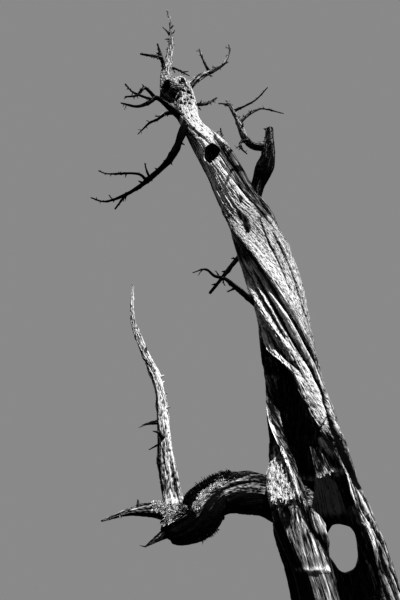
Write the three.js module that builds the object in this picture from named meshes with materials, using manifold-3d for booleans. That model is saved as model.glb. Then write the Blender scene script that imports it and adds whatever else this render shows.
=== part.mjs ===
// A dead, weathered tree: a leaning, spirally grained trunk that is hollow low down and open right
// through, one heavy bough that carries an upright spire, and a few bare limbs and twigs near the top.
// Millimetres, +Z up, origin at the centre of the flat cut at ground level, seen best along +Y.
import * as THREE from "three";
import { mergeVertices } from "three/addons/utils/BufferGeometryUtils.js";
import Module from "manifold-3d";

const wasm = await Module();
wasm.setup();

// Overall sizes
const CLEARANCE = 0.5;
const TRUNK_SIDES = 48;
const TRUNK_ROW_STEP = 150;
const DEPTH_SHARE = 0.9;

// The trunk's centre line and half width, from the ground to its broken top
const TRUNK = [
  { z: 0, x: 0, y: 0, r: 400 },
  { z: 700, x: -20, y: 0, r: 362 },
  { z: 1450, x: -55, y: 0, r: 347 },
  { z: 1950, x: -130, y: 0, r: 345 },
  { z: 2500, x: -187, y: 0, r: 292 },
  { z: 2975, x: -232, y: 0, r: 228 },
  { z: 3500, x: -265, y: 5, r: 230 },
  { z: 4100, x: -330, y: 30, r: 253 },
  { z: 4700, x: -455, y: 50, r: 258 },
  { z: 5060, x: -590, y: 70, r: 224 },
  { z: 5500, x: -722, y: 88, r: 211 },
  { z: 5900, x: -860, y: 120, r: 208 },
  { z: 6300, x: -1055, y: 150, r: 143 },
  { z: 6520, x: -1140, y: 170, r: 134 },
  { z: 6750, x: -1180, y: 190, r: 152 },
  { z: 7000, x: -1205, y: 205, r: 142 },
  { z: 7250, x: -1270, y: 212, r: 148 },
  { z: 7400, x: -1300, y: 218, r: 120 },
];
const TRUNK_TOP = 7450;
const TOP_ROUNDING = 150;
const TOP_TURNS = [30, 55, 75];

// Root flare at the ground, in uneven lobes
const FLARE = 0.3;
const FLARE_HEIGHT = 300;
const FLARE_LOBES = 5;
const FLARE_SPREAD = 0.55;
const FLARE_PHASE = 1;

// Spiral grain: slow near the ground and the top, fast between
const SLOW_TURN = 15;
const FAST_TURN = 62;
const FAST_FROM = 2400;
const FAST_TO = 4800;

// Broad strands that run with the grain, as [lobes, share of the radius, phase in degrees]
const STRANDS = [
  [3, 0.035, 40],
  [5, 0.03, 115],
  [8, 0.018, 10],
];

// Ridges and grooves that run with the grain. Each row of a path is [height, grain angle in degrees, how far
// the wood stands out]; left and right are half widths in degrees, and a sharp one is an edge, not a swell.
const FORMS = [
  {
    name: "arris", left: 8, right: 42, sharp: true,
    path: [[2850, 64, 0], [3050, 57, 34], [3320, 43, 46], [3610, 40, 48], [3900, 41, 48], [4130, 48, 46],
      [4360, 46, 42], [4560, 42, 38], [4900, 55, 28], [5300, 62, 24], [5750, 60, 18], [6000, 64, 0]],
  },
  {
    name: "groove under the arris", left: 8, right: 6,
    path: [[2850, 52, 0], [3050, 48, -34], [3320, 35, -46], [3610, 31, -50], [3900, 31, -50], [4130, 37, -50],
      [4360, 35, -46], [4600, 31, -30], [4850, 34, 0]],
  },
  {
    name: "sunken band", left: 24, right: 16,
    path: [[3620, 14, 0], [3950, 12, -26], [4400, 10, -32], [4750, 14, 0]],
  },
  {
    name: "groove between the first and second strands", left: 7, right: 7,
    path: [[2700, -8, 0], [2980, 3, -26], [3270, 2, -30], [3560, 0, -30], [3850, 2, -26], [4150, 3, 0]],
  },
  {
    name: "first strand", left: 9, right: 8,
    path: [[2650, -20, 8], [2970, -13, 24], [3200, -17, 28], [3470, -22, 30], [3890, -28, 26], [4150, -32, 0]],
  },
  {
    name: "groove right of the mouth", left: 7, right: 7,
    path: [[2050, -25, 0], [2130, -24, -26], [2280, -22, -44], [2500, -16, -46], [2700, -3, -44],
      [2985, 16, -32], [3050, 21, 0]],
  },
  {
    name: "outer strip right of the mouth", left: 6, right: 8,
    path: [[2150, -12, 0], [2410, -6, 20], [2620, 8, 22], [2840, 22, 20], [3000, 30, 14], [3100, 36, 0]],
  },
  {
    name: "groove below the knot hole", left: 6, right: 6,
    path: [[4380, 124, 0], [4560, 127, -26], [4780, 132, -30], [5050, 132, -30], [5400, 121, -26],
      [5500, 118, 0]],
  },
  {
    name: "back groove, high", left: 9, right: 9,
    path: [[4600, 162, 0], [4850, 162, -30], [5750, 162, -30], [6000, 162, 0]],
  },
  {
    name: "back groove, left", left: 13, right: 13,
    path: [[1000, 215, 0], [1250, 215, -34], [6150, 215, -34], [6400, 215, 0]],
  },
  {
    name: "back groove, right", left: 12, right: 12,
    path: [[200, 290, 0], [450, 290, -28], [2300, 290, -20], [2500, 290, 0]],
  },
  {
    name: "slab's left edge", left: 34, right: 26, sharp: true,
    path: [[700, -112, 0], [1200, -104, 34], [1457, -103, 52], [1610, -106, 68], [1731, -111, 88],
      [1891, -115, 104], [2024, -120, 92], [2200, -130, 52], [2420, -130, 0]],
  },
  {
    name: "first groove of the right side", left: 6, right: 6,
    path: [[400, -11, 0], [700, -11, -14], [1400, -13, -18], [1723, -15, -22], [1927, -24, -22],
      [2130, -29, 0]],
  },
  {
    name: "second groove of the right side", left: 6, right: 6,
    path: [[400, 8, 0], [800, 8, -12], [1400, 6, -16], [1739, 3, -20], [1893, -4, -20], [2080, -14, 0]],
  },
];

// Broken steps in the outer wood: the edge's height and its two headings, how far the wood below is set
// back, and over what height that fades
const LEDGES = [
  { z: 1600, from: -152, to: -106, depth: 46, fade: 620 },
  { z: 2022, from: -178, to: -119, depth: 52, fade: 420 },
];
const LEDGE_SOFTNESS = 6;
const LEDGE_STEP = 4;

// Dimples and swellings of the trunk: height, heading, half height, half width in degrees, depth
const DIMPLES = [
  { z: 1920, facing: -141, high: 66, wide: 6, depth: 34 },
  { z: 1885, facing: -113, high: 85, wide: 6, depth: -30 },
  { z: 4490, facing: -123, high: 75, wide: 8, depth: 52 },
];

// The hollow: at each height, the headings of its mouth's two edges in degrees and the bore inside
const HOLLOW = [
  { z: 560, left: -95, right: -84, bore: 90 },
  { z: 800, left: -99, right: -76, bore: 190 },
  { z: 1150, left: -106, right: -66, bore: 235 },
  { z: 1457, left: -111, right: -60, bore: 243 },
  { z: 1678, left: -110, right: -59, bore: 245 },
  { z: 1800, left: -104, right: -59, bore: 245 },
  { z: 1900, left: -104, right: -61, bore: 243 },
  { z: 2000, left: -119, right: -64, bore: 241 },
  { z: 2070, left: -122, right: -65, bore: 240 },
  { z: 2250, left: -129, right: -67, bore: 225 },
  { z: 2525, left: -150, right: -84, bore: 195 },
  { z: 2780, left: -170, right: -97, bore: 160 },
  { z: 3000, left: -186, right: -115, bore: 125 },
  { z: 3200, left: -190, right: -156, bore: 78 },
  { z: 3330, left: -190, right: -170, bore: 46 },
  { z: 3430, left: -187, right: -178, bore: 16 },
];
const HOLLOW_ROWS = 26;
const MOUTH_STEPS = 4;
const MOUTH_REACH = 140;
const BORE_STEPS = 13;
const BORE_UNEVEN = 0.06;
const BORE_LOBES = 3;
const BORE_WAVE = 160;

// A slab that is left across the upper part of the hollow's mouth
const SLAB = { from: -99, to: -50, low: 2165, high: 2385, inset: 62, thick: 46 };
const SLAB_STEPS = 7;
const SLAB_RAGGED = 38;
const SLAB_TEAR = 60;

// The opening through the back wall, on the line of sight through the hollow's mouth
const WINDOW = { x: 38, y: 250, z: 1778, half_wide: 112, half_high: 156, heading: 74.9, rise: 4.6 };
const WINDOW_LENGTH = 700;
const WINDOW_BACK = 190;
const WINDOW_SIDES = 20;
const WINDOW_UNEVEN = [[3, 0.05, 0.8], [5, 0.03, Math.PI / 2]];

// Knot holes, each an ellipsoid cut into the trunk
const KNOT_HOLES = [
  { z: 5640, facing: -121, half: [98, 130, 140], sink: 20 },
  { z: 6850, facing: -133, half: [45, 60, 50], sink: 10 },
  { z: 4620, facing: 60, half: [60, 90, 80], sink: 10 },
];

// Limbs in the order that they are cut clear of each other. A route's points lie on the centre line, foot
// and tip are the radii at its ends, taper bends the line between them, and swell is [where, how wide, how
// much] along it. From the share mass_from of its route on, a limb is a mass of twigs; 0 makes it all twigs.
const LIMBS = [
  {
    name: "low_bough", foot: 138, tip: 42, taper: 0.35, swell: [0.76, 0.3, 42],
    route: [[-250, 0, 1985], [-440, 0, 2062], [-660, -22, 2102], [-880, -70, 2062], [-1085, -116, 1890],
      [-1215, -122, 1858]],
  },
  {
    name: "spire", foot: 72, tip: 7, taper: 0.8,
    route: [[-1130, -120, 1860], [-1180, -120, 1995], [-1250, -132, 2360], [-1325, -145, 2860],
      [-1490, -140, 3240], [-1578, -120, 3490], [-1607, -100, 3870]],
    forks: [
      { foot: 17, tip: 4, route: [[-1275, -130, 2590], [-1390, -190, 2550], [-1448, -220, 2513]] },
      { foot: 16, tip: 5, route: [[-1262, -150, 2450], [-1300, -230, 2475], [-1334, -300, 2466]] },
      { foot: 12, tip: 4, route: [[-1270, -120, 2440], [-1381, -50, 2399]] },
    ],
  },
  {
    name: "bough_stub", foot: 66, tip: 6,
    route: [[-1100, -110, 1900], [-1220, -120, 1962], [-1436, -200, 1960], [-1636, -300, 1888]],
  },
  {
    name: "bough_snag", foot: 52, tip: 5,
    route: [[-1120, -110, 1875], [-1215, -130, 1839], [-1355, -200, 1745]],
  },
  {
    name: "gnarled_limb", foot: 60, tip: 28, taper: 0.6, swell: [0.43, 0.25, 46],
    route: [[-470, 30, 4840], [-392, -35, 5120], [-290, -132, 5410], [-245, -160, 5640], [-218, -150, 5925]],
  },
  {
    name: "gnarled_arm", foot: 45, tip: 12, taper: 0.7, mass_from: 0.5,
    route: [[-250, -150, 5650], [-426, -200, 5603], [-512, -252, 5650], [-560, -268, 5810],
      [-620, -270, 6060], [-697, -270, 6285]],
    forks: [
      {
        foot: 22, tip: 6,
        route: [[-575, -268, 5890], [-368, -140, 6265], [-250, -85, 6390], [19, 20, 6443]],
      },
      { foot: 15, tip: 7, route: [[-625, -270, 6085], [-380, -340, 6188], [-237, -400, 6330]] },
      { foot: 15, tip: 6, route: [[-665, -270, 6199], [-733, -200, 6322], [-783, -160, 6388]] },
    ],
  },
  {
    name: "arm_hook", foot: 24, tip: 5, mass_from: 0,
    route: [[-480, -235, 5630], [-548, -292, 5560], [-586, -340, 5410], [-517, -330, 5311]],
  },
  {
    name: "sweep_limb", foot: 62, tip: 8, taper: 1.1, mass_from: 0.54,
    route: [[-1090, 120, 6560], [-1205, 115, 6240], [-1330, 215, 5920], [-1654, 420, 5696],
      [-1893, 500, 5570], [-2160, 590, 5535], [-2347, 620, 5626]],
    forks: [
      {
        foot: 18, tip: 9,
        route: [[-1640, 415, 5700], [-1730, 378, 5775], [-2140, 410, 5822], [-2243, 420, 5881]],
      },
      { foot: 17, tip: 9, route: [[-1880, 497, 5575], [-1960, 532, 5465], [-2022, 580, 5403]] },
      { foot: 18, tip: 8, route: [[-1600, 395, 5715], [-1650, 340, 5830], [-1668, 320, 5905]] },
    ],
  },
  {
    name: "left_bough", foot: 46, tip: 10, mass_from: 0.42,
    route: [[-1200, 160, 6520], [-1320, 80, 6560], [-1532, -30, 6672], [-1620, -50, 6560], [-1750, -80, 6440],
      [-1920, -200, 6335]],
    forks: [
      {
        foot: 22, tip: 10,
        route: [[-1545, -35, 6655], [-1659, -150, 6695], [-1739, -250, 6406], [-1842, -350, 6234]],
      },
      {
        foot: 18, tip: 10,
        route: [[-1575, -40, 6620], [-1740, 10, 6780], [-1882, 80, 6977], [-1986, 120, 7188]],
      },
    ],
  },
  {
    name: "low_twigs", foot: 30, tip: 7, mass_from: 0,
    route: [[-1290, 190, 6700], [-1431, 160, 6634], [-1542, 180, 6543], [-1633, 220, 6537],
      [-1719, 280, 6498], [-1792, 320, 6439]],
  },
  {
    name: "leader", foot: 95, tip: 13, taper: 1.2, mass_from: 0.5,
    route: [[-1400, 215, 7130], [-1462, 222, 7420], [-1436, 250, 8340], [-1464, 200, 8950],
      [-1510, 200, 9242]],
    forks: [{ foot: 18, tip: 7, route: [[-1456, 220, 8590], [-1510, 210, 8670], [-1568, 200, 8746]] }],
  },
  {
    name: "left_fork_twigs", foot: 44, tip: 12, mass_from: 0,
    route: [[-1455, 215, 7470], [-1490, 170, 7620], [-1540, 85, 7780], [-1590, 20, 7965]],
    forks: [{ foot: 24, tip: 12, route: [[-1530, 100, 7750], [-1600, 45, 7700], [-1785, -100, 7513]] }],
  },
  {
    name: "leader_side_twigs", foot: 18, tip: 8, mass_from: 0,
    route: [[-1450, 235, 7760], [-1370, 275, 7800], [-1155, 500, 7971]],
    forks: [{ foot: 12, tip: 7, route: [[-1265, 390, 7890], [-1175, 440, 7990]] }],
  },
  {
    name: "right_limb", foot: 68, tip: 11, taper: 1.3, mass_from: 0.36,
    route: [[-1260, 212, 7130], [-1041, 250, 7516], [-774, 380, 7943], [-630, 420, 8180], [-546, 400, 8505],
      [-561, 400, 8617]],
    forks: [
      {
        foot: 23, tip: 11,
        route: [[-870, 325, 7800], [-924, 270, 7875], [-969, 220, 7985], [-1012, 200, 8155]],
      },
    ],
  },
  {
    name: "right_twig", foot: 26, tip: 12, mass_from: 0,
    route: [[-1120, 180, 6750], [-1039, 200, 6863], [-921, 300, 7025], [-771, 400, 7300]],
  },
  {
    name: "trunk_spur", foot: 26, tip: 7, mass_from: 0,
    route: [[-800, 100, 5880], [-741, 120, 6150], [-749, 120, 6298]],
  },
  {
    name: "mid_twig", foot: 34, tip: 6, mass_from: 0,
    route: [[-440, -40, 3560], [-680, -230, 3728], [-796, -340, 3753], [-881, -420, 3722], [-950, -460, 3760],
      [-1059, -500, 3699]],
  },
  {
    name: "mid_stick", foot: 25, tip: 16, mass_from: 0,
    route: [[-520, 60, 4420], [-602, 110, 4340], [-897, 420, 4097]],
  },
  {
    name: "broken_stump", foot: 100, tip: 80, dished: 42,
    route: [[-1290, 190, 7080], [-1360, 120, 7040], [-1425, 45, 7005]],
  },
  {
    name: "back_stub_low", foot: 52, tip: 20,
    route: [[-180, 180, 2780], [-120, 300, 2860], [-60, 420, 2990]],
  },
  {
    name: "back_stub_high", foot: 50, tip: 14,
    route: [[-420, 160, 4420], [-380, 330, 4520], [-330, 450, 4680]],
  },
];

// How every limb is made: its collar at the foot, its lumps, and how finely it is faceted
const COLLAR = 0.5;
const COLLAR_LENGTH = 1.3;
const LUMPS = 0.06;
const LUMP_LENGTH = 100;
const LUMP_DRIFTS = [0.5, -0.9, 1.7];
const SIDES_FEWEST = 4;
const GIRTH_PER_SIDE = 15;
const FORK_SIDES = 5;
const ROW_STEP = 65;
const ROW_STEP_LIMITS = [90, 120];

// Broken spurs on a mass's stem
const SPUR_SPACING = 210;
const SPUR_TURN = 137.5;
const SPUR_SPREAD = 60;
const SPUR_OUTWARD = 0.9;
const SPUR_FORWARD = 0.5;
const SPUR_REACH = 80;
const SPUR_THICK = 14;
const SPUR_THICK_SHARE = 0.6;
const SPUR_TIP = 4;

const WOOD = { color: 0xb9b7b3, roughness: 0.85, metalness: 0 };
const TWIG_WOOD = { color: 0x8f8c88, roughness: 0.85, metalness: 0 };

const RANDOM_SEED = 7919;
const RANDOM_FACTOR = 1664525;
const RANDOM_STEP = 1013904223;
const RANDOM_RANGE = 2 ** 32;

const radians = THREE.MathUtils.degToRad;
const clamp = THREE.MathUtils.clamp;

// Repeatable random numbers from 0 to 1
function randomFrom(seed) {
  let state = seed * RANDOM_SEED;
  return () => {
    state = (state * RANDOM_FACTOR + RANDOM_STEP) % RANDOM_RANGE;
    return state / RANDOM_RANGE;
  };
}

// Smooth value of `key` at height z, through rows of stations
function station(rows, key, z) {
  if (z <= rows[0].z) return rows[0][key];
  const last = rows.length - 1;
  if (z >= rows[last].z) return rows[last][key];
  const i = rows.findIndex((row) => row.z > z) - 1;
  const slope = (k) => {
    const low = rows[Math.max(k - 1, 0)];
    const high = rows[Math.min(k + 1, last)];
    return (high[key] - low[key]) / (high.z - low.z);
  };
  const span = rows[i + 1].z - rows[i].z;
  const t = (z - rows[i].z) / span;
  return (
    rows[i][key] * (1 + 2 * t) * (1 - t) ** 2 +
    slope(i) * span * t * (1 - t) ** 2 +
    rows[i + 1][key] * t * t * (3 - 2 * t) +
    slope(i + 1) * span * t * t * (t - 1)
  );
}

// Straight-line value at height z of one column of a path
function between(path, column, z) {
  const i = path.findIndex((row) => row[0] > z);
  if (i === 0) return path[0][column];
  if (i < 0) return path[path.length - 1][column];
  const [low, high] = [path[i - 1], path[i]];
  return low[column] + ((high[column] - low[column]) * (z - low[0])) / (high[0] - low[0]);
}

// Angle that the grain has turned through, clockwise from above, in radians
function grainTurn(z) {
  return radians((SLOW_TURN * z + FAST_TURN * clamp(z - FAST_FROM, 0, FAST_TO - FAST_FROM)) / 1000);
}

// Signed difference of two angles in radians, from -PI to PI
function angleBetween(a, b) {
  return Math.atan2(Math.sin(a - b), Math.cos(a - b));
}

// How far the ridges and grooves along the grain lift the wood
function formHeight(phi, z) {
  return FORMS.reduce((sum, form) => {
    const off = angleBetween(phi, radians(between(form.path, 1, z)));
    const share = Math.abs(off) / radians(off < 0 ? form.left : form.right);
    return sum + between(form.path, 2, z) * (form.sharp ? Math.max(0, 1 - share) : Math.exp(-share * share));
  }, 0);
}

// How much of a ledge lies at a heading, from 0 to 1
function ledgeShare({ from, to }, theta) {
  const off = Math.abs(angleBetween(theta, radians((from + to) / 2)));
  const half = radians((to - from) / 2);
  return 1 - THREE.MathUtils.smoothstep(off, half, half + radians(LEDGE_SOFTNESS));
}

// Distance of the trunk's surface from its centre line
function trunkRadius(theta, z) {
  const phi = theta + grainTurn(z);
  let share = 1;
  for (const [lobes, part, phase] of STRANDS) share += part * Math.cos(lobes * phi + radians(phase));
  const flare = FLARE * Math.exp(-z / FLARE_HEIGHT);
  share += flare * (1 + FLARE_SPREAD * Math.cos(FLARE_LOBES * theta + FLARE_PHASE));
  let radius = station(TRUNK, "r", z) * share + formHeight(phi, z);
  for (const ledge of LEDGES) {
    if (z >= ledge.z) continue;
    radius -= ledge.depth * ledgeShare(ledge, theta) * Math.max(0, 1 - (ledge.z - z) / ledge.fade);
  }
  for (const dimple of DIMPLES) {
    const across = angleBetween(theta, radians(dimple.facing)) / radians(dimple.wide);
    radius -= dimple.depth * Math.exp(-(across ** 2) - ((z - dimple.z) / dimple.high) ** 2);
  }
  return radius;
}

// A closed body from rings of points, each ring fanned to its own centre at the ends
function ringBody(rings) {
  const sides = rings[0].length;
  const positions = rings.flat().flatMap((p) => [p.x, p.y, p.z]);
  const index = [];
  const at = (row, side) => row * sides + (side % sides);
  for (let row = 0; row < rings.length - 1; row++) {
    for (let side = 0; side < sides; side++) {
      index.push(at(row, side), at(row, side + 1), at(row + 1, side + 1));
      index.push(at(row, side), at(row + 1, side + 1), at(row + 1, side));
    }
  }
  for (const [row, turned] of [[0, true], [rings.length - 1, false]]) {
    const middle = rings[row].reduce((sum, p) => sum.add(p), new THREE.Vector3()).divideScalar(sides);
    const hub = positions.length / 3;
    positions.push(middle.x, middle.y, middle.z);
    for (let side = 0; side < sides; side++) {
      const edge = [at(row, side), at(row, side + 1)];
      index.push(hub, ...(turned ? edge.reverse() : edge));
    }
  }
  const body = new THREE.BufferGeometry();
  body.setAttribute("position", new THREE.Float32BufferAttribute(positions, 3));
  body.setIndex(index);
  return body;
}

// three.js geometry to a solid, `grow` mm larger than life all round
function solidOf(geometry, grow = 0) {
  const bare = geometry.clone();
  bare.deleteAttribute("normal");
  bare.deleteAttribute("uv");
  const merged = mergeVertices(bare, 1e-4);
  merged.computeVertexNormals();
  const { position, normal } = merged.attributes;
  return new wasm.Manifold(
    new wasm.Mesh({
      numProp: 3,
      vertProperties: Float32Array.from(position.array, (value, i) => value + grow * normal.array[i]),
      triVerts: new Uint32Array(merged.index.array),
    }),
  );
}

// The largest connected piece of a solid: a cut can leave loose scraps
function largest(solid) {
  return solid.decompose().reduce((best, piece) => (piece.volume() > best.volume() ? piece : best));
}

// The trunk's outer form with its points in columns along the grain, `grow` mm larger than life
function trunkForm(grow = 0) {
  const heights = [];
  const bodyTop = TRUNK_TOP - TOP_ROUNDING;
  const rows = Math.round(bodyTop / TRUNK_ROW_STEP);
  for (let i = 0; i <= rows; i++) heights.push((bodyTop * i) / rows);
  for (const { z } of LEDGES) heights.push(z - LEDGE_STEP, z + LEDGE_STEP);
  heights.sort((a, b) => a - b);
  const ring = (z, share) =>
    Array.from({ length: TRUNK_SIDES }, (_, side) => {
      const theta = (2 * Math.PI * side) / TRUNK_SIDES - grainTurn(Math.min(z, bodyTop));
      const radius = trunkRadius(theta, z) * share;
      return new THREE.Vector3(
        station(TRUNK, "x", z) + radius * Math.cos(theta),
        station(TRUNK, "y", z) + radius * Math.sin(theta) * DEPTH_SHARE,
        z,
      );
    });
  const rings = heights.map((z) => ring(z, 1));
  for (const turn of TOP_TURNS) {
    rings.push(ring(bodyTop + TOP_ROUNDING * Math.sin(radians(turn)), Math.cos(radians(turn))));
  }
  return solidOf(ringBody(rings), grow);
}

// The hollow that winds up the trunk: a bore with a mouth that is open to the outside
function hollowForm() {
  const low = HOLLOW[0].z;
  const high = HOLLOW[HOLLOW.length - 1].z;
  const rings = Array.from({ length: HOLLOW_ROWS + 1 }, (_, row) => {
    const z = low + ((high - low) * row) / HOLLOW_ROWS;
    const [left, right, bore] = ["left", "right", "bore"].map((key) => station(HOLLOW, key, z));
    const ring = [];
    const place = (degrees, radius) => {
      const theta = radians(degrees);
      const x = station(TRUNK, "x", z) + radius * Math.cos(theta);
      const y = station(TRUNK, "y", z) + radius * Math.sin(theta) * DEPTH_SHARE;
      ring.push(new THREE.Vector3(x, y, z));
    };
    const outside = station(TRUNK, "r", z) + MOUTH_REACH;
    for (let i = 0; i <= MOUTH_STEPS; i++) place(left + ((right - left) * i) / MOUTH_STEPS, outside);
    for (let i = 0; i <= BORE_STEPS; i++) {
      const degrees = right + ((left + 360 - right) * i) / BORE_STEPS;
      const uneven = 1 + BORE_UNEVEN * Math.sin(radians(BORE_LOBES * degrees) + z / BORE_WAVE);
      place(degrees, bore * uneven);
    }
    return ring;
  });
  return solidOf(ringBody(rings));
}

// The slab across the hollow's mouth, with a ragged lower edge
function slabForm() {
  const random = randomFrom(5);
  const rings = [];
  for (const z of [SLAB.low, SLAB.low + SLAB_TEAR, (SLAB.low + SLAB.high) / 2, SLAB.high]) {
    const front = [];
    const back = [];
    for (let i = 0; i <= SLAB_STEPS; i++) {
      const theta = radians(SLAB.from + ((SLAB.to - SLAB.from) * i) / SLAB_STEPS);
      const ragged = z === SLAB.low ? SLAB_RAGGED * (random() - 0.5) : 0;
      const place = (radius) =>
        new THREE.Vector3(
          station(TRUNK, "x", z) + radius * Math.cos(theta),
          station(TRUNK, "y", z) + radius * Math.sin(theta) * DEPTH_SHARE,
          z + ragged,
        );
      const radius = trunkRadius(theta, z) - SLAB.inset;
      front.push(place(radius));
      back.unshift(place(radius - SLAB.thick));
    }
    rings.push([...front, ...back]);
  }
  return solidOf(ringBody(rings));
}

// The opening through the back wall
function windowForm() {
  const cutter = new THREE.CylinderGeometry(1, 1, WINDOW_LENGTH, WINDOW_SIDES, 1);
  cutter.rotateZ(-Math.PI / 2);
  const place = cutter.attributes.position;
  for (let i = 0; i < place.count; i++) {
    const turn = Math.atan2(place.getZ(i), place.getY(i));
    let uneven = 1;
    for (const [lobes, part, phase] of WINDOW_UNEVEN) uneven += part * Math.sin(lobes * turn + phase);
    place.setY(i, place.getY(i) * WINDOW.half_wide * uneven);
    place.setZ(i, place.getZ(i) * WINDOW.half_high * uneven);
  }
  cutter.translate(WINDOW_LENGTH / 2 - WINDOW_BACK, 0, 0);
  cutter.rotateY(-radians(WINDOW.rise));
  cutter.rotateZ(radians(WINDOW.heading));
  cutter.translate(WINDOW.x, WINDOW.y, WINDOW.z);
  return solidOf(cutter);
}

// A knot hole cut into the trunk's surface
function knotHoleForm({ z, facing, half, sink }) {
  const theta = radians(facing);
  const ball = new THREE.IcosahedronGeometry(1, 1);
  ball.scale(...half);
  const radius = trunkRadius(theta, z) - sink;
  ball.rotateZ(theta - Math.PI / 2);
  ball.translate(
    station(TRUNK, "x", z) + radius * Math.cos(theta),
    station(TRUNK, "y", z) + radius * Math.sin(theta) * DEPTH_SHARE,
    z,
  );
  return solidOf(ball);
}

function trunkSolid() {
  let trunk = trunkForm().subtract(hollowForm().subtract(slabForm())).subtract(windowForm());
  for (const hole of KNOT_HOLES) trunk = trunk.subtract(knotHoleForm(hole));
  return largest(trunk);
}

// A limb's centre line and its radius at a share t of the way along it
function limbPath({ route, foot, tip, taper = 1, swell = [0, 1, 0] }) {
  const points = route.map((point) => new THREE.Vector3(...point));
  const curve = new THREE.CatmullRomCurve3(points, false, "centripetal");
  const length = curve.getLength();
  const [where, wide, much] = swell;
  const radiusAt = (t) =>
    tip +
    (foot - tip) * (1 - t) ** taper +
    COLLAR * foot * Math.exp((-t * length) / (COLLAR_LENGTH * foot)) +
    much * Math.exp(-(((t - where) / wide) ** 2));
  return { curve, length, radiusAt };
}

// One tapering limb between two shares of its route, `grow` mm larger than life
function limbForm(shape, seed, from = 0, to = 1, grow = 0) {
  const { curve, length, radiusAt } = limbPath(shape);
  const random = randomFrom(seed);
  const phases = [random(), random(), random()].map((value) => value * 2 * Math.PI);
  const sides = shape.sides ?? Math.round(SIDES_FEWEST + shape.foot / GIRTH_PER_SIDE);
  const rowStep = clamp(shape.foot + ROW_STEP, ...ROW_STEP_LIMITS);
  const rows = Math.max(2, Math.round((length * (to - from)) / rowStep));
  let side = new THREE.Vector3(0, 1, 0);
  const rings = [];
  for (let row = 0; row <= rows; row++) {
    const t = from + ((to - from) * row) / rows;
    const along = curve.getTangentAt(t);
    const centre = curve.getPointAt(t);
    side = side.clone().addScaledVector(along, -side.dot(along)).normalize();
    const other = along.clone().cross(side);
    const [twoLobed, threeLobed, even] = LUMP_DRIFTS.map((drift) => (drift * t * length) / LUMP_LENGTH);
    const ring = Array.from({ length: sides }, (_, i) => {
      const turn = (2 * Math.PI * i) / sides;
      const lumps =
        Math.cos(2 * turn + phases[0] + twoLobed) +
        Math.cos(3 * turn + phases[1] + threeLobed) +
        Math.sin(phases[2] + even);
      const radius = radiusAt(t) * (1 + LUMPS * lumps);
      return centre
        .clone()
        .addScaledVector(side, radius * Math.cos(turn))
        .addScaledVector(other, radius * Math.sin(turn));
    });
    rings.push(ring);
  }
  return solidOf(ringBody(rings), grow);
}

// Short broken spurs that stand out of a stem by a seeded rule; one that touches an obstacle is skipped
function spurForms(shape, seed, from, obstacles) {
  const { curve, length, radiusAt } = limbPath(shape);
  const random = randomFrom(seed);
  const count = Math.floor(((1 - from) * length) / SPUR_SPACING);
  const spurs = [];
  for (let i = 0; i < count; i++) {
    const t = from + ((1 - from) * (i + 0.3 + 0.5 * random())) / count;
    const along = curve.getTangentAt(t);
    const turn = radians(SPUR_TURN * i + SPUR_SPREAD * random());
    const side = new THREE.Vector3(0, 1, 0).cross(along).normalize().applyAxisAngle(along, turn);
    const root = curve.getPointAt(t);
    const heading = side.multiplyScalar(SPUR_OUTWARD).addScaledVector(along, SPUR_FORWARD).normalize();
    const tip = root.clone().addScaledVector(heading, radiusAt(t) + SPUR_REACH * (0.4 + 0.6 * random()));
    const foot = Math.min(radiusAt(t) * SPUR_THICK_SHARE, SPUR_THICK);
    const route = [root.toArray(), tip.toArray()];
    const spur = limbForm({ route, foot, tip: SPUR_TIP, sides: SIDES_FEWEST }, i + 1);
    if (obstacles.every((other) => spur.intersect(other).isEmpty())) spurs.push(spur);
  }
  return spurs;
}

// A dish sunk into a broken stump's end
function dishForm({ route, dished }) {
  const end = new THREE.Vector3(...route[route.length - 1]);
  const away = end.clone().sub(new THREE.Vector3(...route[route.length - 2])).normalize();
  const ball = new THREE.IcosahedronGeometry(dished, 1);
  ball.translate(...end.addScaledVector(away, -dished * 0.1).toArray());
  return solidOf(ball);
}

// All limbs as [node name, solid, whether it is a mass], each cut clear of the trunk and of those before it
function limbSolids() {
  const earlier = [trunkForm(CLEARANCE)];
  const nodes = [];
  const joined = (pieces) => pieces.reduce((sum, piece) => sum.add(piece));
  const keep = (name, solid, grown, isMass) => {
    nodes.push([name, largest(earlier.reduce((rest, other) => rest.subtract(other), solid)), isMass]);
    earlier.push(grown);
  };
  LIMBS.forEach((shape, number) => {
    const seed = number + 1;
    const { forks = [], mass_from: split = 1 } = shape;
    const forkForm = (fork, i, grow) => limbForm({ ...fork, sides: FORK_SIDES }, seed * 10 + i, 0, 1, grow);
    const form = (from, to, grow) => {
      const carried = to === 1 ? forks.map((fork, i) => forkForm(fork, i, grow)) : [];
      return joined([limbForm(shape, seed, from, to, grow), ...carried]);
    };
    if (split > 0) {
      const solid = form(0, split, 0);
      const finished = shape.dished ? solid.subtract(dishForm(shape)) : solid;
      keep(shape.name, finished, form(0, split, CLEARANCE), false);
    }
    if (split < 1) {
      const name = split > 0 ? `${shape.name}_twigs` : shape.name;
      const spurs = spurForms(shape, seed, split, earlier);
      keep(name, joined([form(split, 1, 0), ...spurs]), form(split, 1, CLEARANCE), true);
    }
  });
  return nodes;
}

// A solid back to a three.js mesh with its name and finish
function meshOf(name, solid, finish) {
  const { vertProperties, triVerts } = solid.getMesh();
  const geometry = new THREE.BufferGeometry();
  geometry.setAttribute("position", new THREE.BufferAttribute(vertProperties, 3));
  geometry.setIndex(new THREE.BufferAttribute(triVerts, 1));
  geometry.computeVertexNormals();
  const mesh = new THREE.Mesh(geometry, new THREE.MeshStandardMaterial(finish));
  mesh.name = name;
  return mesh;
}

const tree = new THREE.Group();
tree.add(meshOf("trunk", trunkSolid(), WOOD));
for (const [name, solid, isMass] of limbSolids()) tree.add(meshOf(name, solid, isMass ? TWIG_WOOD : WOOD));

export default tree;
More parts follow.
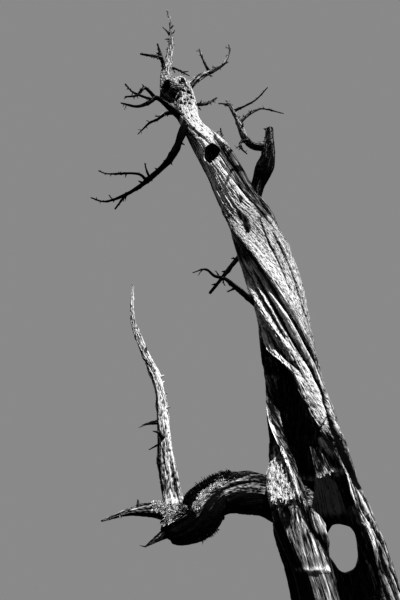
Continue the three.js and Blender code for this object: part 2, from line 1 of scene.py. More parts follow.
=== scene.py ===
"""A dead, weathered tree: a leaning trunk of silver-grey wood with a spiral grain, hollow low down and
open right through, a heavy low bough that carries an upright spire, and bare, knobbly limbs and twigs.

The tables and the wood's own rules are in millimetres, like the tree's solids; MM turns them to metres."""

import math

import bpy
import numpy as np
from bpy.props import FloatProperty, FloatVectorProperty, IntProperty, PointerProperty
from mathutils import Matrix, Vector


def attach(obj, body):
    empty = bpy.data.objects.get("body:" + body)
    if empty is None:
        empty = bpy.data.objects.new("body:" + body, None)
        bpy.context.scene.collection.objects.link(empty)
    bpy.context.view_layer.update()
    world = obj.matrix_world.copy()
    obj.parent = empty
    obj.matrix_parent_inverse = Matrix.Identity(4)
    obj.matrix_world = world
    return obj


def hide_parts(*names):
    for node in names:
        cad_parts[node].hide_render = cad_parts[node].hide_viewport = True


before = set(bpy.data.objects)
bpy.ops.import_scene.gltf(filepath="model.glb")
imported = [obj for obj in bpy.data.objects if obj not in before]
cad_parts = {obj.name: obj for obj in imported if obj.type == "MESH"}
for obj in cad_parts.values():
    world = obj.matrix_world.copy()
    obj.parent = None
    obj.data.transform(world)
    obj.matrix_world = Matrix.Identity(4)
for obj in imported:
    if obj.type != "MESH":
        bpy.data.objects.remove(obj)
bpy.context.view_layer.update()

bl_info = {
    "name": "Dead Tree",
    "version": (1, 0, 0),
    "blender": (4, 5, 0),
    "location": "View3D > Sidebar > Dead Tree",
    "description": "Weathered wood for a dead, hollow, spirally grained tree",
    "category": "Object",
}

MM = 0.001
TAU = 2 * math.pi
SHARP_EDGE = 50

# The trunk's centre line and half width: height, x, y, half width
TRUNK = (
    (0, 0, 0, 400),
    (700, -20, 0, 362),
    (1450, -55, 0, 347),
    (1950, -130, 0, 345),
    (2500, -187, 0, 292),
    (2975, -232, 0, 228),
    (3500, -265, 5, 230),
    (4100, -330, 30, 253),
    (4700, -455, 50, 258),
    (5060, -590, 70, 224),
    (5500, -722, 88, 211),
    (5900, -860, 120, 208),
    (6300, -1055, 150, 143),
    (6520, -1140, 170, 134),
    (6750, -1180, 190, 152),
    (7000, -1205, 205, 142),
    (7250, -1270, 212, 148),
    (7400, -1300, 218, 120),
)
TRUNK_TOP = 7450
TOP_ROUNDING = 150
TOP_RINGS = (12, 24, 36, 48, 58, 67, 75, 82)
TRUNK_JOINT = 3520
DEPTH_SHARE = 0.9

# Root flare, and the spiral grain's turn in degrees a metre: slow, and fast between two heights
FLARE = 0.3
FLARE_HEIGHT = 300
FLARE_LOBES = 5
FLARE_SPREAD = 0.55
SLOW_TURN = 15
FAST_TURN = 62
FAST_FROM = 2400
FAST_TO = 4800

# Broad strands with the grain: lobes, share of the radius, phase in degrees
STRANDS = ((3, 0.035, 40), (5, 0.03, 115), (8, 0.018, 10))

# Ridges and grooves along the grain. Each row is a height, the grain angle there in degrees and how far
# the wood stands out; left and right are half widths in degrees, and a sharp one is an edge, not a swell.
# tone is how much paler, or below 0 darker, the wood is there; the grooves' darkening is painted shade.
FORMS = (
    {"name": "arris", "left": 5, "right": 42, "sharp": True, "rows": (
        (2850, 62, 0), (3020, 55, 18), (3141, 50, 24), (3254, 43, 26), (3379, 39, 28), (3502, 38, 30),
        (3640, 37, 38), (3900, 38, 44), (4130, 41, 42), (4360, 42, 40), (4560, 42, 38), (4900, 55, 28),
        (5300, 62, 24), (5750, 60, 18), (6000, 64, 0))},
    {"name": "groove under the arris", "left": 4, "right": 3.5, "tone": -0.5, "rows": (
        (2900, 50, 0), (3020, 46, -26), (3141, 43, -30), (3254, 38.5, -32), (3379, 35.5, -34),
        (3502, 34, -36), (3640, 33, -42), (3900, 32, -48), (4130, 34, -46), (4360, 34, -40),
        (4600, 31, -26), (4850, 34, 0))},
    {"name": "sunken band", "left": 20, "right": 14, "rows": (
        (3620, 14, 0), (3950, 12, -14), (4400, 10, -20), (4750, 14, 0))},
    {"name": "third strand", "left": 6, "right": 5, "tone": 0.25, "rows": (
        (2840, 28, 0), (2930, 33, 12), (3021, 35, 20), (3166, 30, 22), (3309, 27, 22), (3450, 25, 22),
        (3600, 22, 18), (3778, 18, 12), (3880, 17, 0))},
    {"name": "long groove", "left": 4.5, "right": 4.5, "tone": -0.9, "rows": (
        (3010, 24, 0), (3060, 24, -34), (3134, 19, -32), (3227, 14, -32), (3347, 10, -30), (3468, 9, -28),
        (3600, 10, -26), (3780, 11, -22), (4050, 14, 0))},
    {"name": "groove right of the mouth", "left": 5, "right": 6.5, "tone": -1.25, "rows": (
        (2080, -20, 0), (2159, -17, -34), (2207, -19, -52), (2245, -22, -58), (2314, -22.5, -58),
        (2381, -22, -58), (2456, -17, -56), (2531, -11, -52), (2613, -2.5, -46), (2697, 6, -42),
        (2740, 12, -38), (2793, 20, -36), (2873, 25, -30), (2953, 27, -30), (3040, 26, 0))},
    {"name": "second strand", "left": 3.5, "right": 3.5, "tone": 0.3, "rows": (
        (3120, 8, 0), (3258, 3, 12), (3422, 1, 18), (3613, 3.5, 20), (3818, 3.5, 14), (3920, 3, 0))},
    {"name": "groove between the first and second", "left": 3.5, "right": 3.5, "tone": -0.4, "rows": (
        (3160, 2, 0), (3300, -3, -20), (3422, -4, -26), (3584, -3, -30), (3750, -3, -30), (3900, -3, -26),
        (4150, 0, 0))},
    {"name": "first strand", "left": 10, "right": 7, "tone": 0.2, "rows": (
        (2700, 4, 0), (2881, 6, 18), (2987, 6, 24), (3061, 1, 26), (3154, -4, 28), (3268, -12, 30),
        (3422, -15, 30), (3521, -16, 30), (3768, -15, 28), (3867, -17, 22), (3960, -19, 0))},
    {"name": "lens above the mouth", "left": 6, "right": 5, "tone": -0.35, "rows": (
        (2860, -6, 0), (2950, -8, -14), (3010, -13, -20), (3080, -21, -26), (3200, -30, -30),
        (3330, -34, -24), (3430, -36, 0))},
    {"name": "lip above the mouth", "left": 5, "right": 4, "tone": 0.4, "rows": (
        (2780, -25, 0), (2880, -18, 12), (2948, -13, 14), (2998, -17, 14), (3063, -24, 14), (3112, -32, 14),
        (3189, -42, 14), (3270, -46, 14), (3349, -41, 12), (3430, -37, 0))},
    {"name": "outer strip right of the mouth", "left": 5, "right": 7, "tone": 0.04, "rows": (
        (2150, -6, 0), (2222, -10, 8), (2319, -10, 10), (2427, -4, 12), (2560, 8, 12), (2674, 18, 12),
        (2793, 29, 12), (2900, 36, 8), (2980, 38, 0))},
    {"name": "narrow waist of the right side", "left": 30, "right": 34, "rows": (
        (1780, 21, 0), (1900, 23, -18), (2050, 26, -48), (2190, 28, -64), (2390, 31, -38), (2560, 43, -15),
        (2700, 54, 0))},
    {"name": "flat below the gnarled limb", "left": 30, "right": 30, "rows": (
        (4380, 181, 0), (4500, 188, -25), (4620, 196, -42), (4750, 205, -30), (4900, 212, 0))},
    {"name": "smooth strip right of the mouth", "left": 3, "right": 3.5, "tone": 0.3, "rows": (
        (2040, -34, 0), (2140, -33, 24), (2240, -31, 26), (2310, -29.5, 26), (2381, -28, 24), (2453, -25, 20),
        (2531, -20, 16), (2600, -14, 14), (2684, -8, 12), (2768, 1, 12), (2849, 9, 12), (2930, 14, 0))},
    {"name": "crack below the knot hole", "left": 3.5, "right": 3, "rows": (
        (4380, 124, 0), (4560, 127, -26), (4780, 132, -34), (5050, 132, -34), (5400, 121, -30),
        (5500, 118, 0))},
    {"name": "groove beside the knot hole", "left": 4, "right": 4, "rows": (
        (5700, 125, 0), (5850, 122, -24), (6050, 114, -24), (6300, 105, 0))},
    {"name": "thin groove on the right", "left": 2.2, "right": 2.2, "tone": -0.35, "rows": (
        (3400, 80, 0), (3579, 83, -14), (3753, 90, -16), (3896, 96, -18), (4037, 102, -24), (4152, 106, -32),
        (4251, 110, -32), (4353, 114, -16), (4420, 116, 0))},
    {"name": "second thin groove", "left": 1.6, "right": 1.6, "tone": -0.35, "rows": (
        (3650, 64, 0), (3789, 68, -10), (3923, 75, -14), (4081, 82, -16), (4217, 86, -16), (4387, 97, -16),
        (4532, 109, -12), (4600, 113, 0))},
    {"name": "groove left of the swelling", "left": 2.5, "right": 2.5, "tone": -0.5, "rows": (
        (1640, -82, 0), (1690, -83, -16), (1757, -86, -30), (1853, -93, -30), (1940, -95, -24),
        (1990, -96, 0))},
    {"name": "streak groove", "left": 3, "right": 3, "rows": (
        (4650, 84, 0), (4800, 88, -22), (5100, 92, -24), (5350, 96, 0))},
    {"name": "second streak groove", "left": 3, "right": 3, "rows": (
        (4900, 72, 0), (5100, 74, -20), (5500, 76, -20), (5750, 80, 0))},
    {"name": "back groove, high", "left": 9, "right": 9, "rows": (
        (4600, 162, 0), (4850, 162, -30), (5750, 162, -30), (6000, 162, 0))},
    {"name": "back groove, left", "left": 13, "right": 13, "rows": (
        (1000, 215, 0), (1250, 215, -34), (6150, 215, -34), (6400, 215, 0))},
    {"name": "back groove, right", "left": 12, "right": 12, "rows": (
        (200, 290, 0), (450, 290, -28), (2300, 290, -20), (2500, 290, 0))},
    {"name": "slab's left edge", "left": 34, "right": 26, "sharp": True, "rows": (
        (700, -116, 0), (1200, -109, 44), (1457, -106, 66), (1610, -106, 72), (1731, -111, 88),
        (1891, -116, 104), (2024, -120, 92), (2200, -130, 52), (2420, -130, 0))},
    {"name": "first groove of the right side", "left": 2.6, "right": 2.6, "tone": -0.45, "rows": (
        (400, -11, 0), (700, -11, -20), (1400, -13, -24), (1723, -15, -28), (1825, -17, -28),
        (1927, -24, -28), (2056, -28, -26), (2130, -29, 0))},
    {"name": "second groove of the right side", "left": 2.6, "right": 2.6, "tone": -0.45, "rows": (
        (400, 8, 0), (800, 8, -16), (1400, 6, -22), (1739, 3, -26), (1893, -4, -26), (2020, -12, -24),
        (2080, -14, 0))},
    {"name": "third groove of the right side", "left": 2.6, "right": 2.6, "tone": -0.45, "rows": (
        (400, -23, 0), (800, -23, -16), (1600, -24, -18), (1850, -26, 0))},
    {"name": "dark band by the mouth", "left": 4, "right": 4, "rows": (
        (900, -36, 0), (1100, -36, -30), (1457, -35, -34), (1620, -31, -30), (1720, -30, 0))},
)

# Broken steps in the outer wood: the height and slope of the edge, its two headings in degrees, how far
# the wood below is set back, over what height that fades, and how ragged the edge and how proud its lip is.
# The last two values are the strength of a painted highlight along the edge and of a painted shadow on the
# wood just below it.
LEDGES = (
    {"z": 1600, "slope": 0, "from": -143, "to": -106, "depth": 9, "fade": 620, "ragged": 7, "lip": 11,
     "crest_highlight": 0.6, "shade": 0.0},
    {"z": 2022, "slope": -0.4, "from": -150, "to": -119, "depth": 36, "fade": 380, "ragged": 40, "lip": 6,
     "crest_highlight": 0.15, "shade": 0.15},
    {"z": 2512, "slope": 5, "from": -90, "to": -66, "depth": 36, "fade": 420, "ragged": 24, "lip": 4,
     "crest_highlight": 0.2, "shade": 0.15},
)

# Zones where the trunk's wood differs, or where light or shade is painted on it. A "grain" zone turns with
# the grain, a "side" zone stays on one side.
# Each has two directions in degrees and how soft they are, then two heights and how soft those are.
ZONES = {
    "broad": ("grain", 47, 168, 5, 3000, 4640, 120),
    "first": ("grain", -48, 16, 4, 2500, 3950, 60),
    "third": ("grain", 16, 37, 3, 2900, 3640, 60),
    "strands": ("grain", -66, 40, 8, 2350, 3900, 120),
    "patch": ("side", -182, -130, 5, 1990, 2310, 36),
    "bulge": ("side", -116, -101, 3, 1830, 1950, 30),
    # Painted shade at the hollow's tip
    "tip": ("side", -204, -188, 8, 3020, 3260, 180),
    "slab": ("side", -166, -108, 5, 900, 2010, 60),
    # Painted shade on the trunk's left side, high up
    "painted_shade_left": ("side", -196, -148, 12, 4700, 6350, 80),
    "furrowed": ("side", -68, -12, 3, 700, 2080, 60),
    # Painted shade in the recess below the third ledge
    "painted_shade_recess": ("side", -95, -66, 3, 2160, 2470, 30),
    "outer": ("side", -200, -160, 6, 2330, 2900, 60),
}

# What the zones do to the wood, added to its value outside them: how granular it is, how deep its relief, how
# strong the grain's tone, and how pale it is
GRANULAR = (0.25, {"broad": 0.75, "head": 0.25, "patch": 1, "first": 0.6, "slab": -0.3})
RELIEF = (1, {"broad": -0.62, "wedge": -0.85, "head": -0.5, "slab": -0.55})
# The grain's stronger tone on the trunk's shaded left side stands in for grazing light: painted light and
# shade.
GAIN = (0.8, {
    "slab": -0.35, "swirl": 0.3, "broad": -0.42, "head": -0.3, "painted_shade_left": 0.7, "furrowed": -0.3, "first": -0.2,
    "strands": -0.2, "crown": 0.7})
# Of the paleness, the darkening of the hollow's tip, the recess below the third ledge, the trunk's left side
# and flank, the wood left of the slab and beside the mouth's left edge, and the crown's pocks is painted
# shade; the paler sunken band lies in shadow and is painted light.
PALENESS = (0, {
    "bulge": 0.5, "tip": -0.5, "third": 0.4, "slab": -0.28, "broad_high": 0.18, "head": 0.5, "crown": -0.24,
    "pocked": -0.8, "patch": 0.4, "swirl": 0.5, "first": 0.25, "low": -0.08, "strands": -0.08, "sunken": 0.35,
    "painted_shade_flank": -0.6, "painted_shade_recess": -0.5, "left": -0.55, "outer": -0.34, "shadowed": -0.3, "painted_shade_left": -0.36,
    "painted_shade_left_high": -0.26})
MEAN_TONE = 0.56
GRANULE_HEIGHT = 6
POCK_DEPTH = 26
FURROW_HEIGHT = 18

# The smooth wedge on the upper right, an even dark grey as a painted shadow of the gnarled limb: its foot's
# height, slope and middle in radians, how ragged the foot is, the heading of its edge at some heights, and
# its width in degrees
WEDGE_FOOT = 4560
WEDGE_SLOPE = 3.0
WEDGE_MIDDLE = 2.11
WEDGE_RAGGED = 34
WEDGE_EDGE = ((4560, 117), (4760, 127), (5150, 131))
WEDGE_WIDTH = 76

# Dimples and swellings of the trunk: height, heading, half height, half width in degrees, depth. The sunk
# ones, like the pits below, are darkened as painted shade.
DIMPLES = (
    (1920, -141, 66, 5, 28),
    (1890, -109, 85, 6, -24),
    (4490, -128, 70, 6, 62),
    (4590, -122, 40, 3, 30),
    (4840, -115, 32, 4, 26),
    (4873, -107, 26, 3, 20),
    (4655, -131, 60, 5, 24),
    (5735, -163, 70, 9, -26),
    (5560, -150, 60, 8, -16),
    (2170, -152, 120, 20, -24),
    (1840, -178, 130, 18, -34),
    (6730, -118, 40, 9, 26),
    (6790, -82, 30, 8, 22),
    (6980, -66, 50, 12, 30),
    (7160, -95, 45, 12, 30),
)
# Small pits of the head: height and heading, all of one half height, half width in degrees and depth
PITS = (
    (6710, -73), (6328, -96), (6923, -83), (6602, -129), (6439, -57), (6379, -143), (6064, -105),
    (5906, -109), (6748, -149), (6576, -67), (6268, -141), (6982, -134), (6925, -101), (7081, -59),
    (7034, -169), (6640, -88), (6520, -104), (6450, -84), (6200, -78), (6150, -122), (6010, -82),
    (6860, -112), (6390, -112), (6250, -60), (6690, -98), (6560, -78), (6480, -124), (6340, -74),
    (6120, -92), (5980, -128),
)
PIT = (18, 5.5, 15)

# The hollow: height, headings of its mouth's left and right edge in degrees, radius of the bore
HOLLOW = (
    (560, -95, -84, 90),
    (800, -99, -76, 190),
    (1150, -106, -66, 235),
    (1457, -111, -60, 243),
    (1678, -110, -59, 245),
    (1800, -104, -59, 245),
    (1900, -104, -61, 243),
    (2000, -119, -64, 241),
    (2070, -122, -65, 240),
    (2250, -129, -67, 225),
    (2525, -150, -81, 195),
    (2780, -170, -95, 160),
    (2940, -182, -102, 135),
    (3060, -188, -122, 110),
    (3190, -190, -149, 80),
    (3290, -190, -158, 58),
    (3390, -189, -166, 34),
    (3480, -187, -178, 14),
)
HOLLOW_LIP_LEFT = ((1950, 0), (2060, 20), (2650, 22), (2850, 12), (3000, 0))
HOLLOW_LIP_RIGHT = ((2820, 0), (2950, 16), (3200, 26), (3330, 24), (3430, 0))
LIP_OFFSET = 2.4
LIP_WIDTH = 2.0
PALE_LIP_WIDTH = 1.6
MOUTH_REACH = 140
WALL_STEPS = 16
WALL_RISE = 60

# The slab left across the hollow's mouth, and the opening through the back wall
SLAB = {"from": -99, "to": -50, "low": 2165, "high": 2385, "inset": 62, "thick": 46, "tilt": 70}
WINDOW = {"x": 38, "y": 250, "z": 1778, "half_wide": 112, "half_high": 156, "heading": 74.9, "rise": 4.6}
WINDOW_LENGTH = 700
WINDOW_BACK = 190

# Knot holes: height, heading, half sizes across, in depth and up, how far the middle is sunk, and how strong
# the painted highlight on one side of its lip is
KNOT_HOLES = (
    (5640, -121, (98, 130, 140), 20, 0.7),
    (6850, -133, (45, 60, 50), 10, 0.1),
    (4620, 60, (60, 90, 80), 10, 0.3),
)

# Limbs in the order of the source. A route's points lie on the centre line, foot and tip are the radii at
# its ends, taper bends the line between them, and swell is where, how wide and how much along it. From the
# share mass_from of its route on, a limb is a mass of twigs; 0 makes it all twigs. A band changes the tone
# between two shares: the turn at each of them and the half width in degrees, and how much. granular is how
# granular the wood is, spikes how many of the usual number it has, and a dished end is broken hollow.
LIMBS = (
    {"name": "low_bough", "foot": 138, "tip": 42, "taper": 0.35, "swell": (0.8, 0.25, 58), "route": (
        (-250, 0, 1985), (-440, 0, 2062), (-660, -22, 2102), (-880, -70, 2062), (-1085, -116, 1890),
        (-1215, -122, 1858)), "bands": (
        # The low bough's paler band along its front is painted light and its dark band underneath painted
        # shade; it is darker along its top, and its pale strip is lichen
        (0, 0.6, 187, 187, 11, 0.34), (0, 0.6, 240, 240, 34, 0.12), (0, 1, 128, 128, 42, -0.2),
        (0.57, 0.82, 213, 194, 9, 0.6), (0.5, 0.85, 240, 220, 14, -0.2))},
    {"name": "spire", "foot": 72, "tip": 7, "taper": 0.8, "granular": 0.8, "route": (
        (-1150, -114, 1905), (-1180, -120, 1995), (-1250, -132, 2360), (-1325, -145, 2860),
        (-1490, -140, 3240), (-1578, -120, 3490), (-1607, -100, 3870)), "bands": (
        # The spire's dark strip down its left side is painted shade
        (0.09, 0.42, 112, 120, 7, -0.6), (0.09, 0.16, -160, -150, 8, -0.5), (0.08, 0.13, -136, -136, 7, -0.5),
        (0, 0.08, 160, 160, 60, 0.2)), "forks": (
        {"foot": 22, "tip": 3, "route": ((-1275, -130, 2590), (-1390, -190, 2550), (-1448, -220, 2513))},
        {"foot": 19, "tip": 4, "route": ((-1262, -150, 2450), (-1300, -230, 2475), (-1334, -300, 2466))},
        {"foot": 12, "tip": 4, "route": ((-1270, -120, 2440), (-1381, -50, 2399))})},
    {"name": "bough_stub", "foot": 74, "tip": 6, "route": (
        (-1100, -110, 1900), (-1220, -120, 1962), (-1436, -200, 1960), (-1636, -300, 1888))},
    {"name": "bough_snag", "foot": 52, "tip": 5, "route": (
        (-1120, -110, 1875), (-1215, -130, 1839), (-1355, -200, 1745))},
    {"name": "gnarled_limb", "foot": 58, "tip": 46, "taper": 0.6, "swell": (0.48, 0.26, 46), "route": (
        (-470, 30, 4840), (-392, -35, 5120), (-290, -132, 5410), (-245, -160, 5640), (-218, -150, 5925))},
    {"name": "gnarled_arm", "foot": 45, "tip": 12, "taper": 0.7, "mass_from": 0.5, "route": (
        (-250, -150, 5650), (-426, -200, 5603), (-512, -252, 5650), (-560, -268, 5810),
        (-620, -270, 6060), (-697, -270, 6285)), "forks": (
        {"foot": 22, "tip": 6, "route": (
            (-575, -268, 5890), (-368, -140, 6265), (-250, -85, 6390), (19, 20, 6443))},
        {"foot": 15, "tip": 7, "route": ((-625, -270, 6085), (-380, -340, 6188), (-237, -400, 6330))},
        {"foot": 15, "tip": 6, "route": ((-665, -270, 6199), (-733, -200, 6322), (-783, -160, 6388))})},
    {"name": "arm_hook", "foot": 24, "tip": 5, "mass_from": 0, "route": (
        (-480, -235, 5630), (-548, -292, 5560), (-586, -340, 5410), (-517, -330, 5311))},
    {"name": "sweep_limb", "foot": 62, "tip": 8, "taper": 1.1, "mass_from": 0.54, "route": (
        (-1140, 165, 6500), (-1205, 115, 6240), (-1330, 215, 5920), (-1654, 420, 5696),
        (-1893, 500, 5570), (-2160, 590, 5535), (-2347, 620, 5626)), "forks": (
        {"foot": 18, "tip": 9, "route": (
            (-1640, 415, 5700), (-1730, 378, 5775), (-2140, 410, 5822), (-2243, 420, 5881))},
        {"foot": 17, "tip": 9, "route": ((-1880, 497, 5575), (-1960, 532, 5465), (-2022, 580, 5403))},
        {"foot": 18, "tip": 8, "route": ((-1600, 395, 5715), (-1650, 340, 5830), (-1668, 320, 5905))})},
    {"name": "left_bough", "foot": 46, "tip": 10, "mass_from": 0.42, "route": (
        (-1200, 160, 6520), (-1320, 80, 6560), (-1532, -30, 6672), (-1620, -50, 6560), (-1750, -80, 6440),
        (-1920, -200, 6335)), "forks": (
        {"foot": 22, "tip": 10, "route": (
            (-1545, -35, 6655), (-1659, -150, 6695), (-1739, -250, 6406), (-1842, -350, 6234))},
        {"foot": 18, "tip": 10, "route": (
            (-1575, -40, 6620), (-1740, 10, 6780), (-1882, 80, 6977), (-1986, 120, 7188))})},
    {"name": "low_twigs", "foot": 30, "tip": 7, "mass_from": 0, "route": (
        (-1290, 190, 6700), (-1431, 160, 6634), (-1542, 180, 6543), (-1633, 220, 6537), (-1719, 280, 6498),
        (-1792, 320, 6439))},
    {"name": "leader", "foot": 95, "tip": 13, "taper": 1.2, "mass_from": 0.5, "route": (
        (-1400, 215, 7130), (-1462, 222, 7420), (-1436, 250, 8340), (-1464, 200, 8950),
        (-1510, 200, 9242)), "forks": (
        {"foot": 18, "tip": 7, "route": ((-1456, 220, 8590), (-1510, 210, 8670), (-1568, 200, 8746))},)},
    {"name": "left_fork_twigs", "foot": 44, "tip": 12, "mass_from": 0, "route": (
        (-1455, 215, 7470), (-1490, 170, 7620), (-1540, 85, 7780), (-1590, 20, 7965)), "forks": (
        {"foot": 24, "tip": 12, "route": ((-1530, 100, 7750), (-1600, 45, 7700), (-1785, -100, 7513))},)},
    {"name": "leader_side_twigs", "foot": 18, "tip": 8, "mass_from": 0, "route": (
        (-1450, 235, 7760), (-1370, 275, 7800), (-1155, 500, 7971)), "forks": (
        {"foot": 12, "tip": 7, "route": ((-1265, 390, 7890), (-1175, 440, 7990))},)},
    {"name": "right_limb", "foot": 68, "tip": 11, "taper": 1.3, "mass_from": 0.36, "route": (
        (-1260, 212, 7130), (-1041, 250, 7516), (-774, 380, 7943), (-630, 420, 8180), (-546, 400, 8505),
        (-561, 400, 8617)), "forks": (
        {"foot": 23, "tip": 11, "route": (
            (-870, 325, 7800), (-924, 270, 7875), (-969, 220, 7985), (-1012, 200, 8155))},)},
    {"name": "right_twig", "foot": 26, "tip": 12, "mass_from": 0, "route": (
        (-1120, 180, 6750), (-1039, 200, 6863), (-921, 300, 7025), (-771, 400, 7300))},
    {"name": "trunk_spur", "foot": 26, "tip": 7, "mass_from": 0, "route": (
        (-800, 100, 5880), (-741, 120, 6150), (-749, 120, 6298))},
    {"name": "mid_twig", "foot": 34, "tip": 6, "mass_from": 0, "spikes": 0.1, "route": (
        (-440, 60, 3690), (-680, -230, 3728), (-796, -340, 3753), (-881, -420, 3722), (-950, -460, 3760),
        (-1059, -500, 3699))},
    {"name": "mid_stick", "foot": 25, "tip": 16, "mass_from": 0, "spikes": 0.4, "route": (
        (-520, 60, 4420), (-602, 110, 4340), (-897, 420, 4097))},
    {"name": "broken_stump", "foot": 100, "tip": 80, "dished": True, "route": (
        (-1290, 190, 7080), (-1360, 120, 7040), (-1425, 45, 7005))},
    {"name": "back_stub_low", "foot": 52, "tip": 20, "route": (
        (-180, 180, 2780), (-120, 300, 2860), (-60, 420, 2990))},
    {"name": "back_stub_high", "foot": 50, "tip": 14, "route": (
        (-420, 160, 4420), (-380, 330, 4520), (-330, 450, 4680))},
)
COLLAR = 0.5
COLLAR_LENGTH = 1.3
LUMPS = 0.06
RELIEF_MEAN = 4
# How much darker a limb is on its underside: painted shade
UNDERSIDE_SHADE = 0.22

# How each bough's wood looks: tone of the wood, about 0 dark to 1 pale, and how deep its relief is
# The very dark tones of the low bough, gnarled limb, left bough and sweep limb are partly painted shade, as
# these limbs are seen from below
BOUGH_LOOKS = {
    "low_bough": (0.0, 0.8),
    "spire": (0.8, 1.1),
    "bough_stub": (0.30, 0.9),
    "bough_snag": (0.10, 0.9),
    "gnarled_limb": (0.08, 1.0),
    "gnarled_arm": (0.40, 0.8),
    "leader": (0.58, 1.0),
    "broken_stump": (0.4, 1.4),
    "right_limb": (0.46, 0.9),
    "left_bough": (0.06, 0.8),
    "sweep_limb": (-0.3, 0.8),
}
BOUGH_LOOK = (0.4, 0.9)
TWIG_TONE = 0.2

# Broken spurs on a mass's stem, by the source's rule
SPUR_SPACING = 210
SPUR_TURN = 137.5
SPUR_SPREAD = 60
SPUR_REACH = 80
SPUR_THICK = 14


class LatticeNoise:
    """Smooth noise of about -1 to 1 over an angle and a distance, that closes round the wood"""

    ROWS = 512

    def __init__(self, seed, cells, length):
        turns = np.random.default_rng(seed).random((cells, self.ROWS)) * TAU
        self.slopes = np.stack([np.cos(turns), np.sin(turns)], -1)
        self.cells = cells
        self.length = length

    def __call__(self, angle, along):
        u = (angle / TAU % 1) * self.cells
        v = along / self.length
        column, row = np.floor(u).astype(int), np.floor(v).astype(int)
        across, up = u - column, v - row

        def corner(i, j):
            slope = self.slopes[(column + i) % self.cells, (row + j) % self.ROWS]
            return slope[..., 0] * (across - i) + slope[..., 1] * (up - j)

        ease_across, ease_up = (f**3 * (f * (6 * f - 15) + 10) for f in (across, up))
        low = corner(0, 0) + ease_across * (corner(1, 0) - corner(0, 0))
        high = corner(0, 1) + ease_across * (corner(1, 1) - corner(0, 1))
        return 1.4 * (low + ease_up * (high - low))


class Grain:
    """Relief and tone of weathered wood at an angle round it and a distance along it, for a given girth"""

    WIDTHS = (95, 42, 20, 10)
    LENGTHS = (1500, 800, 380, 120)

    def __init__(self, seed, girth, pit_length=30):
        cells = [max(3, round(girth / width)) for width in self.WIDTHS]
        self.layers = [LatticeNoise(seed + k, n, self.LENGTHS[k]) for k, n in enumerate(cells)]
        self.sway = LatticeNoise(seed + 10, 5, 700)
        self.jitter = LatticeNoise(seed + 11, 12, 110)
        self.patches = LatticeNoise(seed + 12, 4, 600)
        self.pits = LatticeNoise(seed + 13, max(4, round(girth / 13)), pit_length)
        self.granules = LatticeNoise(seed + 14, max(6, round(girth / 11)), 0.8 * pit_length)

    def __call__(self, angle, along, granular=0.0):
        """Height in mm of a full relief, and tone as an offset of about -0.8 to 0.5"""
        bent = angle + math.radians(7) * self.sway(angle, along)
        bent = bent + math.radians(1.5) * self.jitter(angle, along)
        ropes, strands, fibres, threads = (layer(bent, along) for layer in self.layers)
        patches = self.patches(angle, along)
        ropy = 1 - 0.75 * granular
        crack = np.clip(1 - np.abs(strands) / 0.08, 0, 1) * np.clip(0.6 + patches, 0, 1)
        split = np.clip(1 - np.abs(ropes) / 0.04, 0, 1) * np.clip(0.75 + patches, 0, 1)
        pits = np.clip((self.pits(bent, along) - 0.12) / 0.22, 0, 1) * (0.15 + 0.85 * granular)
        granules = self.granules(bent, along)
        height = ropy * (16 * np.abs(ropes) + 13 * np.abs(strands)) + 7 * np.abs(fibres) + 2 * threads - 8
        height += granular * 3 * granules
        height -= ropy * 15 * crack + 22 * split * (0.4 + 0.6 * ropy) + 8 * pits
        # Paler on the raised strands and darker in cracks, splits and pits: partly weathering, partly painted
        # shade in them
        tone = 0.5 * (np.abs(strands) * ropy + np.abs(fibres)) - 0.16 + 0.3 * threads + 0.16 * patches
        tone += 0.3 * granular * granules
        tone -= 0.7 * crack * (0.4 + 0.6 * ropy) + 0.75 * split + 0.6 * pits
        return height, tone


def through(rows, column, z):
    """Smooth value at heights z of one column of rows whose first column is height"""
    table = np.array(rows, float)
    heights, values = table[:, 0], table[:, column]
    slopes = np.empty_like(values)
    slopes[1:-1] = (values[2:] - values[:-2]) / (heights[2:] - heights[:-2])
    slopes[0] = (values[1] - values[0]) / (heights[1] - heights[0])
    slopes[-1] = (values[-1] - values[-2]) / (heights[-1] - heights[-2])
    z = np.clip(z, heights[0], heights[-1])
    i = np.clip(np.searchsorted(heights, z, side="right") - 1, 0, len(heights) - 2)
    span = heights[i + 1] - heights[i]
    t = (z - heights[i]) / span
    return (
        values[i] * (1 + 2 * t) * (1 - t) ** 2
        + slopes[i] * span * t * (1 - t) ** 2
        + values[i + 1] * t * t * (3 - 2 * t)
        + slopes[i + 1] * span * t * t * (t - 1)
    )


def between(rows, column, z):
    """Straight-line value at heights z of one column of rows whose first column is height"""
    table = np.array(rows, float)
    return np.interp(z, table[:, 0], table[:, column])


def step(value, low, high):
    """Smooth step from 0 at low to 1 at high"""
    t = np.clip((value - low) / (high - low), 0, 1)
    return t * t * (3 - 2 * t)


def window(value, low, high, soft):
    """1 between low and high, with soft ends outside them"""
    return step(value, low - soft, low) * (1 - step(value, high, high + soft))


def wrapped(angle):
    """The same angle from -pi to pi"""
    return np.arctan2(np.sin(angle), np.cos(angle))


def degrees_past(angle, direction):
    """Degrees from a direction in degrees to an angle in radians, from -180 to 180"""
    return np.degrees(wrapped(angle - np.radians(direction)))


def arc(angle, low, high, soft):
    """1 between two directions in degrees, with soft ends outside them"""
    off = np.abs(degrees_past(angle, (low + high) / 2))
    return 1 - step(off, (high - low) / 2, (high - low) / 2 + soft)


def grain_turn(z):
    """Angle that the trunk's grain has turned through, clockwise from above"""
    return np.radians((SLOW_TURN * z + FAST_TURN * np.clip(z - FAST_FROM, 0, FAST_TO - FAST_FROM)) / 1000)


